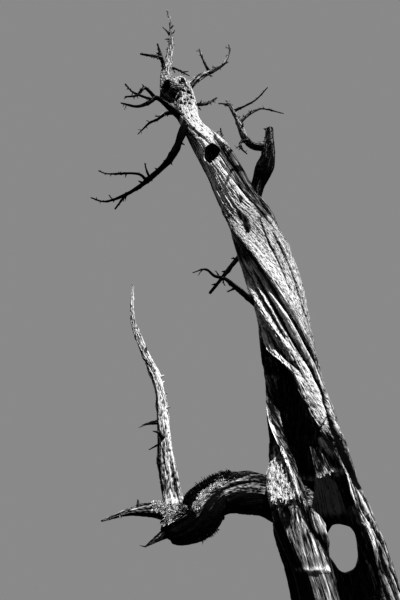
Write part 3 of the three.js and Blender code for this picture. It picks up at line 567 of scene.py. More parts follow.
def forms_at(phi, z):
    """How far the ridges and grooves along the grain lift the wood, and how much they change its tone"""
    lift = np.zeros(np.broadcast(phi, z).shape)
    shade = np.zeros(lift.shape)
    for form in FORMS:
        off = degrees_past(phi, between(form["rows"], 1, z))
        off = np.abs(off) / np.where(off < 0, form["left"], form["right"])
        profile = np.clip(1 - off, 0, 1) if form.get("sharp") else np.exp(-off * off)
        height = between(form["rows"], 2, z)
        lift += height * profile
        shade += form.get("tone", 0) * np.clip(np.abs(height) / 12, 0, 1) * profile
    return lift, shade


TRUNK_GRAIN = Grain(5, TAU * 265, 34)
SLAB_EDGE = next(form["rows"] for form in FORMS if form["name"] == "slab's left edge")
RIGHT_GROOVE = next(form["rows"] for form in FORMS if form["name"] == "first groove of the right side")
RIGHT_LINES = LatticeNoise(43, 84, 2600)
RAGGED = LatticeNoise(41, 30, 400)
RAGGED_FINE = LatticeNoise(42, 130, 400)
POCKS = LatticeNoise(44, 17, 74)


def ledge_edge(ledge, theta):
    """Height of a ledge's broken edge at a heading"""
    across = degrees_past(theta, (ledge["from"] + ledge["to"]) / 2)
    broken = RAGGED(theta, ledge["z"]) + 0.6 * RAGGED_FINE(theta, ledge["z"])
    return ledge["z"] + ledge["slope"] * across + ledge["ragged"] * broken


def dents(theta, z):
    """Depth of the dimples and pits, and a mask of the hollow ones"""
    depth, hollow = 0, 0
    for height, heading, half_high, half_wide, deep in (*DIMPLES, *((*pit, *PIT) for pit in PITS)):
        across = degrees_past(theta, heading) / half_wide
        mark = np.exp(-(across**2) - ((z - height) / half_high) ** 2)
        depth = depth + deep * mark
        hollow = np.maximum(hollow, mark * (deep > 0))
    return depth, hollow


def lips_at(theta, z, width):
    """Height of the lip along each edge of the hollow's mouth in turn, for a half width in degrees"""
    for column, offset, lips in ((1, -LIP_OFFSET, HOLLOW_LIP_LEFT), (2, LIP_OFFSET, HOLLOW_LIP_RIGHT)):
        off = degrees_past(theta, through(HOLLOW, column, z) + offset) / width
        yield between(lips, 1, z) * np.exp(-off * off)


def trunk_body(theta, z):
    """Distance of the trunk's surface from its centre line, without the fine relief"""
    phi = theta + grain_turn(z)
    share = 1 + sum(part * np.cos(lobes * phi + math.radians(phase)) for lobes, part, phase in STRANDS)
    share = share + FLARE * np.exp(-z / FLARE_HEIGHT) * (1 + FLARE_SPREAD * np.cos(FLARE_LOBES * theta + 1))
    radius = through(TRUNK, 3, z) * share + forms_at(phi, z)[0] - dents(theta, z)[0]
    for ledge in LEDGES:
        edge = ledge_edge(ledge, theta)
        inside = arc(theta, ledge["from"], ledge["to"], 5)
        below = step(edge - z, -4, 4)
        radius = radius - ledge["depth"] * inside * below * np.clip(1 - (edge - z) / ledge["fade"], 0, 1)
        radius = radius + ledge["lip"] * inside * np.exp(-(((z - edge - 16) / 14) ** 2))
    for lip in lips_at(theta, z, LIP_WIDTH):
        radius = radius + lip
    return radius


def wood_zones(theta, phi, z):
    """How far each place lies in each zone of the trunk's wood, from 0 to 1, by name"""
    zones = {}
    for name, (around, low, high, soft, foot, top, fade) in ZONES.items():
        zones[name] = arc(phi if around == "grain" else theta, low, high, soft) * window(z, foot, top, fade)
    foot = WEDGE_FOOT + WEDGE_SLOPE * np.degrees(wrapped(phi - WEDGE_MIDDLE))
    foot = foot + WEDGE_RAGGED * RAGGED_FINE(theta, z * 0)
    wedge = arc(phi - np.radians(between(WEDGE_EDGE, 1, z)), 0, WEDGE_WIDTH, 2)
    zones["wedge"] = wedge * step(z - foot, -8, 8) * (1 - step(z, 5600, 5780))
    rear = step(np.abs(wrapped(theta + math.pi / 2)), 1.7, 2.5)
    zones["head"] = step(z + 110 * rear * RAGGED_FINE(theta, z), 5780 - 330 * rear, 5950 + 300 * rear)
    zones["swirl"] = arc(phi, 60, 134, 8) * step(z, 4640, 4800) * (1 - zones["head"])
    # Painted shade on the trunk's left flank below the head
    zones["painted_shade_flank"] = arc(phi, 26, 50, 12) * step(z, 4740, 4940) * (1 - step(z, 5650, 5900))
    # Painted light on the sunken band below the arris, which lies in shadow
    sunken = arc(phi, -4, 34, 8) * step(z, 3500, 3850) * (1 - step(z, 4500, 4700))
    zones["sunken"] = sunken * (1 - 1.6 * step(z, 4050, 4250))
    zones["low"] = 1 - step(z, 2150, 2900)
    zones["broad_high"] = step(z, 3250, 3700) * zones["broad"]
    zones["crown"] = step(z, 6560, 6800)
    # Painted shade in the crown's pocks
    zones["pocked"] = zones["crown"] * step(POCKS(theta, z), 0.12, 0.34)
    # Painted shade on the trunk's left side beside the slab, and beside the mouth's left edge
    past_edge = degrees_past(phi, between(SLAB_EDGE, 1, z))
    left = step(past_edge, -108, -62) * (1 - step(past_edge, -3, 0)) * step(z, 500, 1350)
    zones["left"] = left * (1 - step(z, 1960, 2040))
    beside = degrees_past(theta, through(HOLLOW, 1, z))
    zones["shadowed"] = window(beside, -34, -4, 2) * window(z, 2330, 2900, 60)
    return zones


def mixed(effect, zones):
    """A value that the zones add to or take from"""
    start, weights = effect
    return sum((weight * zones[name] for name, weight in weights.items()), start)


def trunk_surface(theta, z):
    """Distance of the trunk's finished surface from its centre line, and the wood's tone and graininess"""
    phi = theta + grain_turn(z)
    zones = wood_zones(theta, phi, z)
    wedge, furrowed = zones["wedge"], zones["furrowed"]
    granular = np.clip(mixed(GRANULAR, zones), 0, 1) * (1 - wedge)
    height, tone = TRUNK_GRAIN(phi, z, granular)
    height = height + GRANULE_HEIGHT * zones["patch"] * TRUNK_GRAIN.granules(phi, z)
    height = height - POCK_DEPTH * zones["pocked"]
    drawn = np.abs(RIGHT_LINES(phi - np.radians(between(RIGHT_GROOVE, 1, z)), z))
    height = height + furrowed * FURROW_HEIGHT * drawn
    forms, form_tone = forms_at(phi, z)
    tone = MEAN_TONE + tone * mixed(GAIN, zones)
    # Painted shade: the deeper a groove sinks the wood, the darker it is; the ridges are a little paler
    tone += (0.012 - 0.004 * zones["strands"]) * np.clip(forms, -45, 12) + form_tone
    # The furrows are paler on their ridges and darker in their grooves, partly as painted shade
    tone += furrowed * (1.9 * drawn - 0.56 + 0.26 * step(z, 1600, 1900))
    # Painted highlight on one side of each knot hole's lip, where the painted shade of the left side is taken
    # away
    for level, heading, half, _, pale in KNOT_HOLES:
        off = wrapped(theta - math.radians(heading)) * through(TRUNK, 3, z)
        away = np.hypot(off / half[0], (z - level) / half[2])
        lip = np.exp(-(((away - 1.3) / 0.24) ** 2)) * step(-off, -60, 40)
        tone += pale * lip
        for name in ("painted_shade_left", "painted_shade_flank"):
            zones[name] = zones[name] * (1 - lip)
    # Painted shade on the trunk's left side, darker higher up
    zones["painted_shade_left_high"] = step(z, 5300, 5600) * zones["painted_shade_left"]
    tone += mixed(PALENESS, zones)
    # Painted highlight along each ledge's broken edge, and painted shadow on the wood just below it
    for ledge in LEDGES:
        edge = ledge_edge(ledge, theta)
        inside = arc(theta, ledge["from"], ledge["to"], 5)
        tone += ledge["crest_highlight"] * inside * np.exp(-(((z - edge - 14) / 14) ** 2))
        tone -= ledge["shade"] * inside * np.exp(-(((z - edge + 34) / 30) ** 2))
    for lip in lips_at(theta, z, PALE_LIP_WIDTH):
        tone += 0.03 * lip
    # The smooth wedge takes an even dark grey: a painted shadow of the gnarled limb
    smooth = 0.14 + 0.25 * (tone - MEAN_TONE)
    # The sunk dimples and pits are darkened as painted shade
    tone = tone * (1 - wedge) + smooth * wedge - 0.7 * dents(theta, z)[1]
    return trunk_body(theta, z) + mixed(RELIEF, zones) * height, tone, granular


def trunk_point(theta, z, radius):
    """Places on the trunk in mm, at a distance from its centre line"""
    x = through(TRUNK, 1, z) + radius * np.cos(theta)
    y = through(TRUNK, 2, z) + radius * np.sin(theta) * DEPTH_SHARE
    return np.stack(np.broadcast_arrays(x, y, z), -1)


def tube_faces(rows, sides):
    """Quads between rings of points, as indices"""
    row, side = np.meshgrid(np.arange(rows - 1), np.arange(sides), indexing="ij")
    here = row * sides + side
    beside = row * sides + (side + 1) % sides
    return np.stack([here, beside, beside + sides, here + sides], -1).reshape(-1, 4)


def capped(rings):
    """Points, quads and triangles of a closed body from rings of points, each end fanned to its middle"""
    rows, sides = rings.shape[:2]
    points = np.concatenate([rings.reshape(-1, 3), rings[0].mean(0)[None], rings[-1].mean(0)[None]])
    side = np.arange(sides)
    after = (side + 1) % sides
    foot = np.stack([np.full(sides, rows * sides), after, side], -1)
    last = (rows - 1) * sides
    head = np.stack([np.full(sides, rows * sides + 1), last + side, last + after], -1)
    return points, tube_faces(rows, sides), np.concatenate([foot, head])


class Pile:
    """Closed bodies gathered into one mesh, with the grain and tone of the wood at each point"""

    GRANULAR = 0.45

    def __init__(self):
        self.points, self.quads, self.triangles, self.grains, self.tones = [], [], [], [], []
        self.count = 0

    def add(self, rings, grain, tone):
        """rings: rows x sides x 3 in mm; grain: the same shape, in mm; tone: rows x sides"""
        points, quads, triangles = capped(rings)
        self.points.append(points)
        self.quads.append(quads + self.count)
        self.triangles.append(triangles + self.count)
        middles = [grain[0].mean(0)[None], grain[-1].mean(0)[None]]
        self.grains.append(np.concatenate([grain.reshape(-1, 3), *middles]))
        self.tones.append(np.concatenate([tone.ravel(), [tone[0].mean(), tone[-1].mean()]]))
        self.count += len(points)

    def mesh(self, name):
        """The mesh of all bodies so far, in metres"""
        made = mesh_from(name, np.concatenate(self.points) * MM, self.quads, self.triangles)
        tones = np.concatenate(self.tones)
        paint(made, np.concatenate(self.grains) * MM, tones, np.full(len(tones), self.GRANULAR))
        return made


def mesh_from(name, points, quads, triangles):
    """A Blender mesh from points in metres and lists of faces"""
    quads = np.concatenate(quads) if len(quads) else np.zeros((0, 4), int)
    triangles = np.concatenate(triangles) if len(triangles) else np.zeros((0, 3), int)
    mesh = bpy.data.meshes.new(name)
    mesh.vertices.add(len(points))
    mesh.vertices.foreach_set("co", points.astype(np.float32).ravel())
    corners = np.concatenate([quads.ravel(), triangles.ravel()])
    sizes = np.concatenate([np.full(len(quads), 4), np.full(len(triangles), 3)])
    mesh.loops.add(len(corners))
    mesh.loops.foreach_set("vertex_index", corners.astype(np.int32))
    mesh.polygons.add(len(sizes))
    mesh.polygons.foreach_set("loop_start", (np.cumsum(sizes) - sizes).astype(np.int32))
    mesh.update(calc_edges=True)
    mesh.validate()
    return mesh


def closed_mesh(name, rings):
    """A closed mesh from rings of points in mm"""
    points, quads, triangles = capped(rings)
    return mesh_from(name, points * MM, [quads], [triangles])


def turned(local, heading, middle):
    """Places turned about the upright by a heading in radians, then moved so that 0 comes to the middle"""
    x, y, z = (local[..., k] for k in range(3))
    return np.stack([
        x * math.cos(heading) - y * math.sin(heading) + middle[0],
        x * math.sin(heading) + y * math.cos(heading) + middle[1],
        z + middle[2]], -1)


def paint(mesh, grain, tone, granular):
    """Stores where each point lies in the grain, and how pale and how granular the wood is there"""
    held = mesh.attributes.new("grain", "FLOAT_VECTOR", "POINT")
    held.data.foreach_set("vector", grain.astype(np.float32).ravel())
    for name, values in (("tone", tone), ("granular", granular)):
        held = mesh.attributes.new(name, "FLOAT", "POINT")
        held.data.foreach_set("value", values.astype(np.float32))


def points_of(mesh):
    """A mesh's points as an array"""
    places = np.zeros(len(mesh.vertices) * 3, np.float32)
    mesh.vertices.foreach_get("co", places)
    return places.reshape(-1, 3).astype(float)


def placed(name, mesh):
    """A smooth-shaded object for a mesh, with its sharp edges kept"""
    piece = bpy.data.objects.new(name, mesh)
    bpy.context.scene.collection.objects.link(piece)
    mesh.shade_smooth()
    mesh.set_sharp_from_angle(angle=math.radians(SHARP_EDGE))
    return piece


def finish_piece(piece, material, nodes=()):
    """Gives a piece its material, hangs it on the root body and hides the parts that it stands for"""
    piece.data.materials.append(material)
    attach(piece, "root")
    if nodes:
        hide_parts(*nodes)


def cut(body, cutters):
    """The body's mesh with each cutter's space taken out of it in turn"""
    holder = bpy.data.objects.new("cut_body", body)
    bpy.context.scene.collection.objects.link(holder)
    tools = []
    for i, cutter in enumerate(cutters):
        tool = bpy.data.objects.new(f"cut_tool_{i}", cutter)
        bpy.context.scene.collection.objects.link(tool)
        tools.append(tool)
        modifier = holder.modifiers.new(f"cut_{i}", "BOOLEAN")
        modifier.operation = "DIFFERENCE"
        modifier.solver = "MANIFOLD"
        modifier.object = tool
    seen = holder.evaluated_get(bpy.context.evaluated_depsgraph_get())
    result = bpy.data.meshes.new_from_object(seen)
    result.materials.clear()
    if len(result.polygons) <= len(body.polygons) // 2:
        raise RuntimeError("a cut lost the body")
    for helper in [holder, *tools]:
        mesh = helper.data
        bpy.data.objects.remove(helper)
        bpy.data.meshes.remove(mesh)
    return result


def without_scraps(mesh):
    """The mesh's largest connected part alone"""
    edges = np.zeros(len(mesh.edges) * 2, np.int32)
    mesh.edges.foreach_get("vertices", edges)
    a, b = edges.reshape(-1, 2).T
    label = np.arange(len(mesh.vertices))
    while True:
        lowest = np.minimum(label[a], label[b])
        new = label.copy()
        np.minimum.at(new, label[a], lowest)
        np.minimum.at(new, label[b], lowest)
        new = new[new]
        if (new == label).all():
            break
        label = new
    counts = np.bincount(label)
    if (counts > 0).sum() == 1:
        return mesh
    keep = label == counts.argmax()
    index = np.cumsum(keep) - 1
    faces = [p.vertices[:] for p in mesh.polygons if keep[p.vertices[0]]]
    places = points_of(mesh)[keep]
    whole = bpy.data.meshes.new(mesh.name)
    whole.from_pydata(places.tolist(), [], [[int(index[v]) for v in face] for face in faces])
    whole.update()
    bpy.data.meshes.remove(mesh)
    return whole


# Trunk


def trunk_shell(sizes, low, high):
    """The trunk's outside between two heights, with its columns of points running along the grain"""
    top = min(high, TRUNK_TOP - TOP_ROUNDING)
    heights = np.linspace(low, top, round((top - low) * MM / sizes.row_step) + 1)[:, None]
    columns = np.arange(sizes.around)[None] * TAU / sizes.around
    theta = columns - grain_turn(heights)
    rings = [trunk_point(theta, heights, trunk_surface(theta, heights)[0])]
    if high > top:
        for turn in np.radians(TOP_RINGS):
            z = np.full((1, 1), top + TOP_ROUNDING * math.sin(turn))
            crown = trunk_surface(theta[-1:], z)[0]
            rings.append(trunk_point(theta[-1:], z, crown * math.cos(turn)))
    return closed_mesh("trunk_shell", np.concatenate(rings))


def bore_grain():
    """The grain of the hollow's inner wall"""
    return Grain(61, TAU * 220)


def mouth_edge(column, place, layers, heights):
    """Heading in degrees of one uneven edge of the hollow's mouth, from layers of seed, length and degrees"""
    wobble = sum(LatticeNoise(seed, 3, length)(place, heights) * much for seed, length, much in layers)
    return through(HOLLOW, column, heights) + wobble


def hollow_mesh():
    """The hollow's space: a bore that winds up the trunk, with a mouth open to the outside"""
    rows, across, round_steps = 150, 8, 100
    heights = np.linspace(HOLLOW[0][0], HOLLOW[-1][0], rows)[:, None]
    left = mouth_edge(1, 0.4, ((51, 90, 1.6), (52, 33, 0.9)), heights)
    right = mouth_edge(2, 2.4, ((53, 110, 1.4), (54, 36, 0.8)), heights)
    share = np.linspace(0, 1, across + 1)[None]
    mouth = np.radians(left + (right - left) * share)
    outside = through(TRUNK, 3, heights) + MOUTH_REACH + 0 * mouth
    turn = np.radians(right + (left + 360 - right) * np.linspace(0, 1, round_steps)[None])
    bore = through(HOLLOW, 3, heights) * (1 + 0.06 * np.sin(3 * turn + heights / 160))
    bore = bore + 1.3 * bore_grain()(turn, heights)[0] * step(through(HOLLOW, 3, heights), 20, 120)
    inward = np.linspace(0, 1, WALL_STEPS)[None, 1:-1]
    rim = through(TRUNK, 3, heights) + WALL_RISE
    right_wall = rim + (bore[:, :1] - rim) * inward
    left_wall = rim + (bore[:, -1:] - rim) * inward[:, ::-1]
    uneven = 0.012 * LatticeNoise(56, 5, 60)(TAU * inward, heights)
    right_side = np.radians(right) + uneven
    left_side = np.radians(left) + TAU + uneven[:, ::-1]
    theta = np.concatenate([mouth, right_side, turn, left_side], 1)
    radius = np.concatenate([outside, right_wall, bore, left_wall], 1)
    return closed_mesh("hollow", trunk_point(theta, heights + 0 * theta, radius))


def slab_foot(theta):
    """Height of the slab's broken lower edge, which rises to the right"""
    share = np.clip((np.degrees(theta) - SLAB["from"]) / (SLAB["to"] - SLAB["from"]), 0, 1)
    foot = SLAB["low"] + SLAB["tilt"] * share + 26 * RAGGED(theta * 3, 0 * theta)
    return foot + 16 * RAGGED_FINE(theta, 0 * theta)


def slab_mesh():
    """The slab across the hollow's mouth, with a broken lower edge"""
    heights = np.linspace(0, 1, 26)[:, None]
    across = np.linspace(0, 1, 40)[None]
    theta = np.radians(SLAB["from"] + (SLAB["to"] - SLAB["from"]) * across)
    z = SLAB["high"] + (slab_foot(theta) - SLAB["high"]) * (1 - heights)
    theta = theta + 0 * z
    streaks = Grain(71, TAU * 250)(theta, z)[0] * 0.5
    swelling = 12 * np.exp(-(((z - slab_foot(theta)) / 30) ** 2))
    front = trunk_body(theta, z) - SLAB["inset"] + streaks + swelling
    back = trunk_point(theta, z, front - SLAB["thick"])
    return closed_mesh("slab", np.concatenate([trunk_point(theta, z, front), back[:, ::-1]], 1))


def window_mesh():
    """The space of the opening through the back wall"""
    sides, rows = 120, 40
    turn = np.arange(sides)[None] * TAU / sides
    along = np.linspace(-WINDOW_BACK, WINDOW_LENGTH - WINDOW_BACK, rows)[:, None]
    uneven = 1 + 0.05 * np.sin(3 * turn + 0.8) + 0.03 * np.cos(5 * turn)
    uneven = uneven + 0.035 * LatticeNoise(81, 14, 90)(turn, along + 900)
    across = WINDOW["half_wide"] * np.cos(turn) * uneven
    up = WINDOW["half_high"] * np.sin(turn) * uneven
    rise = math.radians(WINDOW["rise"])
    x = along * math.cos(rise) - up * math.sin(rise)
    z = along * math.sin(rise) + up * math.cos(rise)
    local = np.stack(np.broadcast_arrays(x, across, z), -1)
    middle = (WINDOW["x"], WINDOW["y"], WINDOW["z"])
    return closed_mesh("window", turned(local, math.radians(WINDOW["heading"]), middle))


def knot_hole_mesh(number, hole):
    """The space of a knot hole: an uneven ball sunk into the trunk"""
    z, heading, half, sink, _ = hole
    theta = math.radians(heading)
    turn = np.arange(72)[None] * TAU / 72
    lean = np.linspace(-1, 1, 38)[1:-1, None] * math.pi / 2
    uneven = 1 + 0.1 * LatticeNoise(90 + number, 9, 0.7)(turn, lean + 4)
    local = np.stack(np.broadcast_arrays(
        half[0] * np.cos(lean) * np.cos(turn) * uneven,
        half[1] * np.cos(lean) * np.sin(turn) * uneven,
        half[2] * np.sin(lean) * uneven), -1)
    here = (np.array(theta), np.array(float(z)))
    middle = trunk_point(*here, trunk_body(*here) - sink)
    return closed_mesh(f"knot_hole_{number}", turned(local, theta - math.pi / 2, middle))


def build_trunk(sizes, low, high):
    """A stretch of the trunk with its hollow, openings and knot holes, painted with grain and tone"""
    cutters = [knot_hole_mesh(i, hole) for i, hole in enumerate(KNOT_HOLES) if low < hole[0] < high]
    if low < HOLLOW[0][0]:
        cutters += [cut(hollow_mesh(), [slab_mesh()]), window_mesh()]
    mesh = without_scraps(cut(trunk_shell(sizes, low, high), cutters))
    places = points_of(mesh) / MM
    z = places[:, 2]
    x = places[:, 0] - through(TRUNK, 1, z)
    y = (places[:, 1] - through(TRUNK, 2, z)) / DEPTH_SHARE
    theta = np.arctan2(y, x)
    distance = np.hypot(x, y)
    surface, tone, granular = trunk_surface(theta, z)
    shoulder = TRUNK_TOP - TOP_ROUNDING
    # The hollow's inner walls take a dark tone: partly their darker wood, partly painted shade inside the
    # hollow
    inner = step(surface - distance, 4, 16) * (1 - step(z, shoulder - 5, shoulder + 5))
    inside = bore_grain()(theta, z)[1]
    front = arc(theta, SLAB["from"] - 4, SLAB["to"] + 4, 2) * window(z, 2130, 2440, 10)
    front = front * step(distance, 150, 200)
    beyond = degrees_past(theta, through(HOLLOW, 2, z))
    inner = np.maximum(inner, front * (1 - step(beyond, -4, -1)))
    # Painted highlight along the slab's broken lower edge
    lit_edge = front * np.exp(-(((z - slab_foot(theta) - 4) / 24) ** 2))
    bore = 1 - step(distance - through(HOLLOW, 3, z), 12, 26)
    beside = degrees_past(theta, through(HOLLOW, 1, z))
    # Painted light on the hollow's left inner wall, and on the back wall above the window
    painted_light_wall = window(beside, -34, 30, 8) * (window(z, 2400, 2790, 60) + 0.7 * window(z, 2880, 3080, 30))
    back_wall = arc(theta, 40, 110, 12) * window(z, 2010, 2230, 60)
    # The slab's face: painted light where it lies in the mouth's shadow, painted shade where the light
    # reaches it
    shaded = front * step(np.degrees(theta) + 76 - 0.1 * (SLAB["high"] - z), -3, 3)
    bore_tone = 0.05 - 0.04 * front + (0.2 - 0.17 * front) * inside + 0.85 * shaded + 0.6 * lit_edge
    bore_tone = bore_tone + bore * (0.12 * painted_light_wall + 0.9 * back_wall)
    tone = tone * (1 - inner) + bore_tone * inner
    phi = theta + grain_turn(z)
    radius = 0.5 * (through(TRUNK, 3, z) + distance)
    grain = np.stack([radius * np.cos(phi), radius * np.sin(phi), z], -1)
    paint(mesh, grain * MM, tone, granular * (1 - 0.6 * inner))
    return mesh


# Limbs


def lcg(seed):
    """The source's repeatable random numbers from 0 to 1"""
    state = seed * 7919
    while True:
        state = (state * 1664525 + 1013904223) % 4294967296
        yield state / 4294967296


class Route:
    """A limb's centre line: a centripetal Catmull-Rom curve through its points, by share of its length"""

    DIVISIONS = 60

    def __init__(self, points):
        p = np.array(points, float)
        p = np.concatenate([[2 * p[0] - p[1]], p, [2 * p[-1] - p[-2]]])
        gaps = np.maximum(np.linalg.norm(np.diff(p, axis=0), axis=1) ** 0.5, 1e-4)
        places = []
        t = np.arange(self.DIVISIONS)[:, None] / self.DIVISIONS
        for i in range(len(points) - 1):
            a, b, c, d = p[i : i + 4]
            g0, g1, g2 = gaps[i : i + 3]
            m0 = ((b - a) / g0 - (c - a) / (g0 + g1) + (c - b) / g1) * g1
            m1 = ((c - b) / g1 - (d - b) / (g1 + g2) + (d - c) / g2) * g1
            places.append(b + m0 * t + (3 * (c - b) - 2 * m0 - m1) * t**2 + (2 * (b - c) + m0 + m1) * t**3)
        self.places = np.concatenate([*places, [p[-2]]])
        run = np.linalg.norm(np.diff(self.places, axis=0), axis=1)
        self.run = np.concatenate([[0], np.cumsum(run)])
        self.length = self.run[-1]

    def at(self, share):
        """Places at shares of the length"""
        along = np.clip(share, 0, 1) * self.length
        return np.stack([np.interp(along, self.run, self.places[:, k]) for k in range(3)], -1)

    def heading(self, share):
        """Unit directions at shares of the length"""
        way = self.at(np.asarray(share) + 0.004) - self.at(np.asarray(share) - 0.004)
        return way / np.linalg.norm(way, axis=-1, keepdims=True)

    def frames(self, shares):
        """Directions along, to the side and across, carried along the limb without twist"""
        along = self.heading(shares)
        side = np.array([0.0, 1.0, 0.0])
        sides = []
        for way in along:
            side = side - way * side.dot(way)
            side = side / np.linalg.norm(side)
            sides.append(side)
        sides = np.array(sides)
        return along, sides, np.cross(along, sides)


class Limb:
    """One tapering limb by the source's rule, with the wood's relief and knots over it"""

    def __init__(self, shape, seed, depth=1.0, tone=0.5):
        self.shape = shape
        self.route = Route(shape["route"])
        random = lcg(seed)
        self.phases = [next(random) * TAU for _ in range(3)]
        self.depth = depth
        self.tone = tone
        girth = TAU * (shape["foot"] + shape["tip"]) / 2
        self.grain = Grain(100 + 17 * seed, girth, 26)
        self.granular = shape.get("granular", 0.4)
        self.fine = min(1.0, (shape["foot"] + shape["tip"]) / 2 / 55)
        rng = np.random.default_rng(900 + seed)
        count = int(self.route.length / 95)
        self.knots = [(rng.random(), rng.random() * TAU, 0.5 + rng.random()) for _ in range(count)]

    def radius(self, share):
        """Mean radius at a share of the length"""
        foot, tip = self.shape["foot"], self.shape["tip"]
        where, wide, much = self.shape.get("swell", (0, 1, 0))
        share = np.asarray(share, float)
        return (
            tip
            + (foot - tip) * (1 - share) ** self.shape.get("taper", 1)
            + COLLAR * foot * np.exp(-share * self.route.length / (COLLAR_LENGTH * foot))
            + much * np.exp(-(((share - where) / wide) ** 2))
        )

    def surface(self, share, turn):
        """Radius and tone at shares of the length and angles round it"""
        share, turn = np.broadcast_arrays(share, turn)
        run = share * self.route.length
        lumps = (
            np.cos(2 * turn + self.phases[0] + 0.005 * run)
            + np.cos(3 * turn + self.phases[1] - 0.009 * run)
            + np.sin(self.phases[2] + 0.017 * run)
        )
        mean = self.radius(share)
        height, tone = self.grain(turn + 0.0016 * run, run + 300, self.granular)
        for low, high, first, last, half, shade in self.shape.get("bands", ()):
            centre = np.radians(np.interp(share, (low, high), (first, last)))
            tone = tone + shade * window(share, low, high, 0.03) * arc(turn - centre, -half, half, 7)
        radius = mean * (1 + LUMPS * lumps) + self.depth * self.fine * (height - RELIEF_MEAN)
        for where, angle, much in self.knots:
            off = wrapped(turn - angle) * mean / (0.55 * mean + 6)
            near = (run - where * self.route.length) / (0.6 * mean + 8)
            knot = np.exp(-off * off - near * near)
            radius = radius + much * (2.5 + 0.16 * mean * np.clip(1.4 - mean / 70, 0.2, 1)) * knot
        return np.maximum(radius, 0.35 * mean), self.tone + tone

    def point(self, share, turn, proud=0.0):
        """Single places on the surface, proud of it by so many mm, and the way out of it there"""
        share, turn = np.atleast_1d(share), np.atleast_1d(turn)
        order = np.argsort(share)
        along, side, across = (np.empty((len(share), 3)) for _ in range(3))
        along[order], side[order], across[order] = self.route.frames(share[order])
        out = side * np.cos(turn)[:, None] + across * np.sin(turn)[:, None]
        radius, _ = self.surface(share, turn)
        return self.route.at(share) + out * (radius + proud)[:, None], out, along

    def shares(self, start, end, row_step):
        """Shares of the length at even steps"""
        return np.linspace(start, end, max(4, round(self.route.length * (end - start) / row_step)) + 1)

    def add_to(self, pile, sides, row_step, start=0.0, end=1.0, end_shape=None):
        """Adds the stretch between two shares to a pile. end_shape adds rings past it."""
        before = self.shares(0, start, row_step)[:-1] if start > 0 else []
        everything = np.concatenate([before, self.shares(start, end, row_step)])
        along, side, across = self.route.frames(everything)
        keep = everything >= start
        shares, along, side, across = everything[keep], along[keep], side[keep], across[keep]
        turn = np.arange(sides)[None] * TAU / sides
        radius, tone = self.surface(shares[:, None], turn)
        out = side[:, None] * np.cos(turn)[..., None] + across[:, None] * np.sin(turn)[..., None]
        # Painted shade on the limb's underside
        tone = tone - UNDERSIDE_SHADE * step(-out[..., 2], -0.1, 0.6)
        rings = self.route.at(shares)[:, None] + out * radius[..., None]
        mean = self.radius(shares)[:, None]
        run = (shares * self.route.length)[:, None]
        grain = np.stack(np.broadcast_arrays(mean * np.cos(turn), mean * np.sin(turn), run), -1)
        if end >= 1:
            rings, grain, tone = self.ended(rings, grain, tone, out[-1], along[-1], radius[-1], end_shape)
        pile.add(rings, grain, tone)

    def ended(self, rings, grain, tone, out, along, radius, end_shape):
        """Rings that close the limb's end: a broken, rounded tip, or the given list of (out, on, tone)"""
        jagged = LatticeNoise(300, 5, 1)(np.arange(len(out)) * TAU / len(out), np.full(len(out), 3.3))
        steps = end_shape or ((0.85, 0.25, 0), (0.55, 0.5, -0.1), (0.22, 0.62, -0.15))
        extra, extra_grain, extra_tone = [], [], []
        middle = self.route.at(1.0)
        for width, on, shade in steps:
            reach = (on + 0.25 * jagged * min(1, abs(on) * 3)) * radius.mean()
            extra.append(middle + out * (radius * width)[:, None] + along * reach[:, None])
            shifted = grain[-1].copy()
            shifted[:, :2] *= width
            shifted[:, 2] += reach
            extra_grain.append(shifted)
            extra_tone.append(tone[-1] + shade)
        return (
            np.concatenate([rings, np.array(extra)]),
            np.concatenate([grain, np.array(extra_grain)]),
            np.concatenate([tone, np.array(extra_tone)]),
        )


def stick(pile, places, radii, sides, tone, seed):
    """Adds a thin closed taper through a few places, with an uneven outline"""
    places, radii = np.array(places, float), np.array(radii, float)
    ways = np.gradient(places, axis=0)
    ways /= np.linalg.norm(ways, axis=1, keepdims=True)
    side = np.cross(ways[0], [0.3, 0.2, 1.0])
    if np.linalg.norm(side) < 1e-3:
        side = np.cross(ways[0], [1.0, 0.0, 0.0])
    turn = np.arange(sides) * TAU / sides + seed
    rings = []
    for place, way, radius in zip(places, ways, radii):
        side = side - way * side.dot(way)
        side /= np.linalg.norm(side)
        across = np.cross(way, side)
        out = side[None] * np.cos(turn)[:, None] + across[None] * np.sin(turn)[:, None]
        uneven = 1 + 0.12 * np.sin(2 * turn + seed + 5 * len(rings))
        rings.append(place + out * (radius * uneven)[:, None])
    rings = np.array(rings)
    run = np.concatenate([[0], np.cumsum(np.linalg.norm(np.diff(places, axis=0), axis=1))])
    grain = np.stack(np.broadcast_arrays(
        radii[:, None] * np.cos(turn), radii[:, None] * np.sin(turn), run[:, None] + 977.0 * seed), -1)
    pile.add(rings, grain, np.full(rings.shape[:2], tone))


def spikes_on(limb, pile, rng, spacing, reach, start=0.08, end=1.0):
    """Short broken spikes on a limb, at random turns"""
    count = int(limb.route.length * (end - start) / spacing * limb.shape.get("spikes", 1))
    for i in range(count):
        share = start + (end - start) * (i + rng.random()) / count
        turn = rng.random() * TAU
        place, out, along = (v[0] for v in limb.point(share, turn, -4))
        long = reach * (0.25 + 0.75 * rng.random() ** 2)
        thick = min(0.5 * float(limb.radius(share)), 3 + 0.16 * long)
        heading = out + along * rng.uniform(0.1, 0.9)
        heading /= np.linalg.norm(heading)
        bend = np.cross(heading, along) * rng.uniform(-0.25, 0.25) * long
        places = [
            place - heading * thick,
            place + heading * 0.35 * long,
            place + heading * 0.75 * long + 0.4 * bend,
            place + heading * long + bend,
        ]
        stick(pile, places, [thick * 1.5, thick, thick * 0.6, thick * 0.18], 6, limb.tone, i % 7)


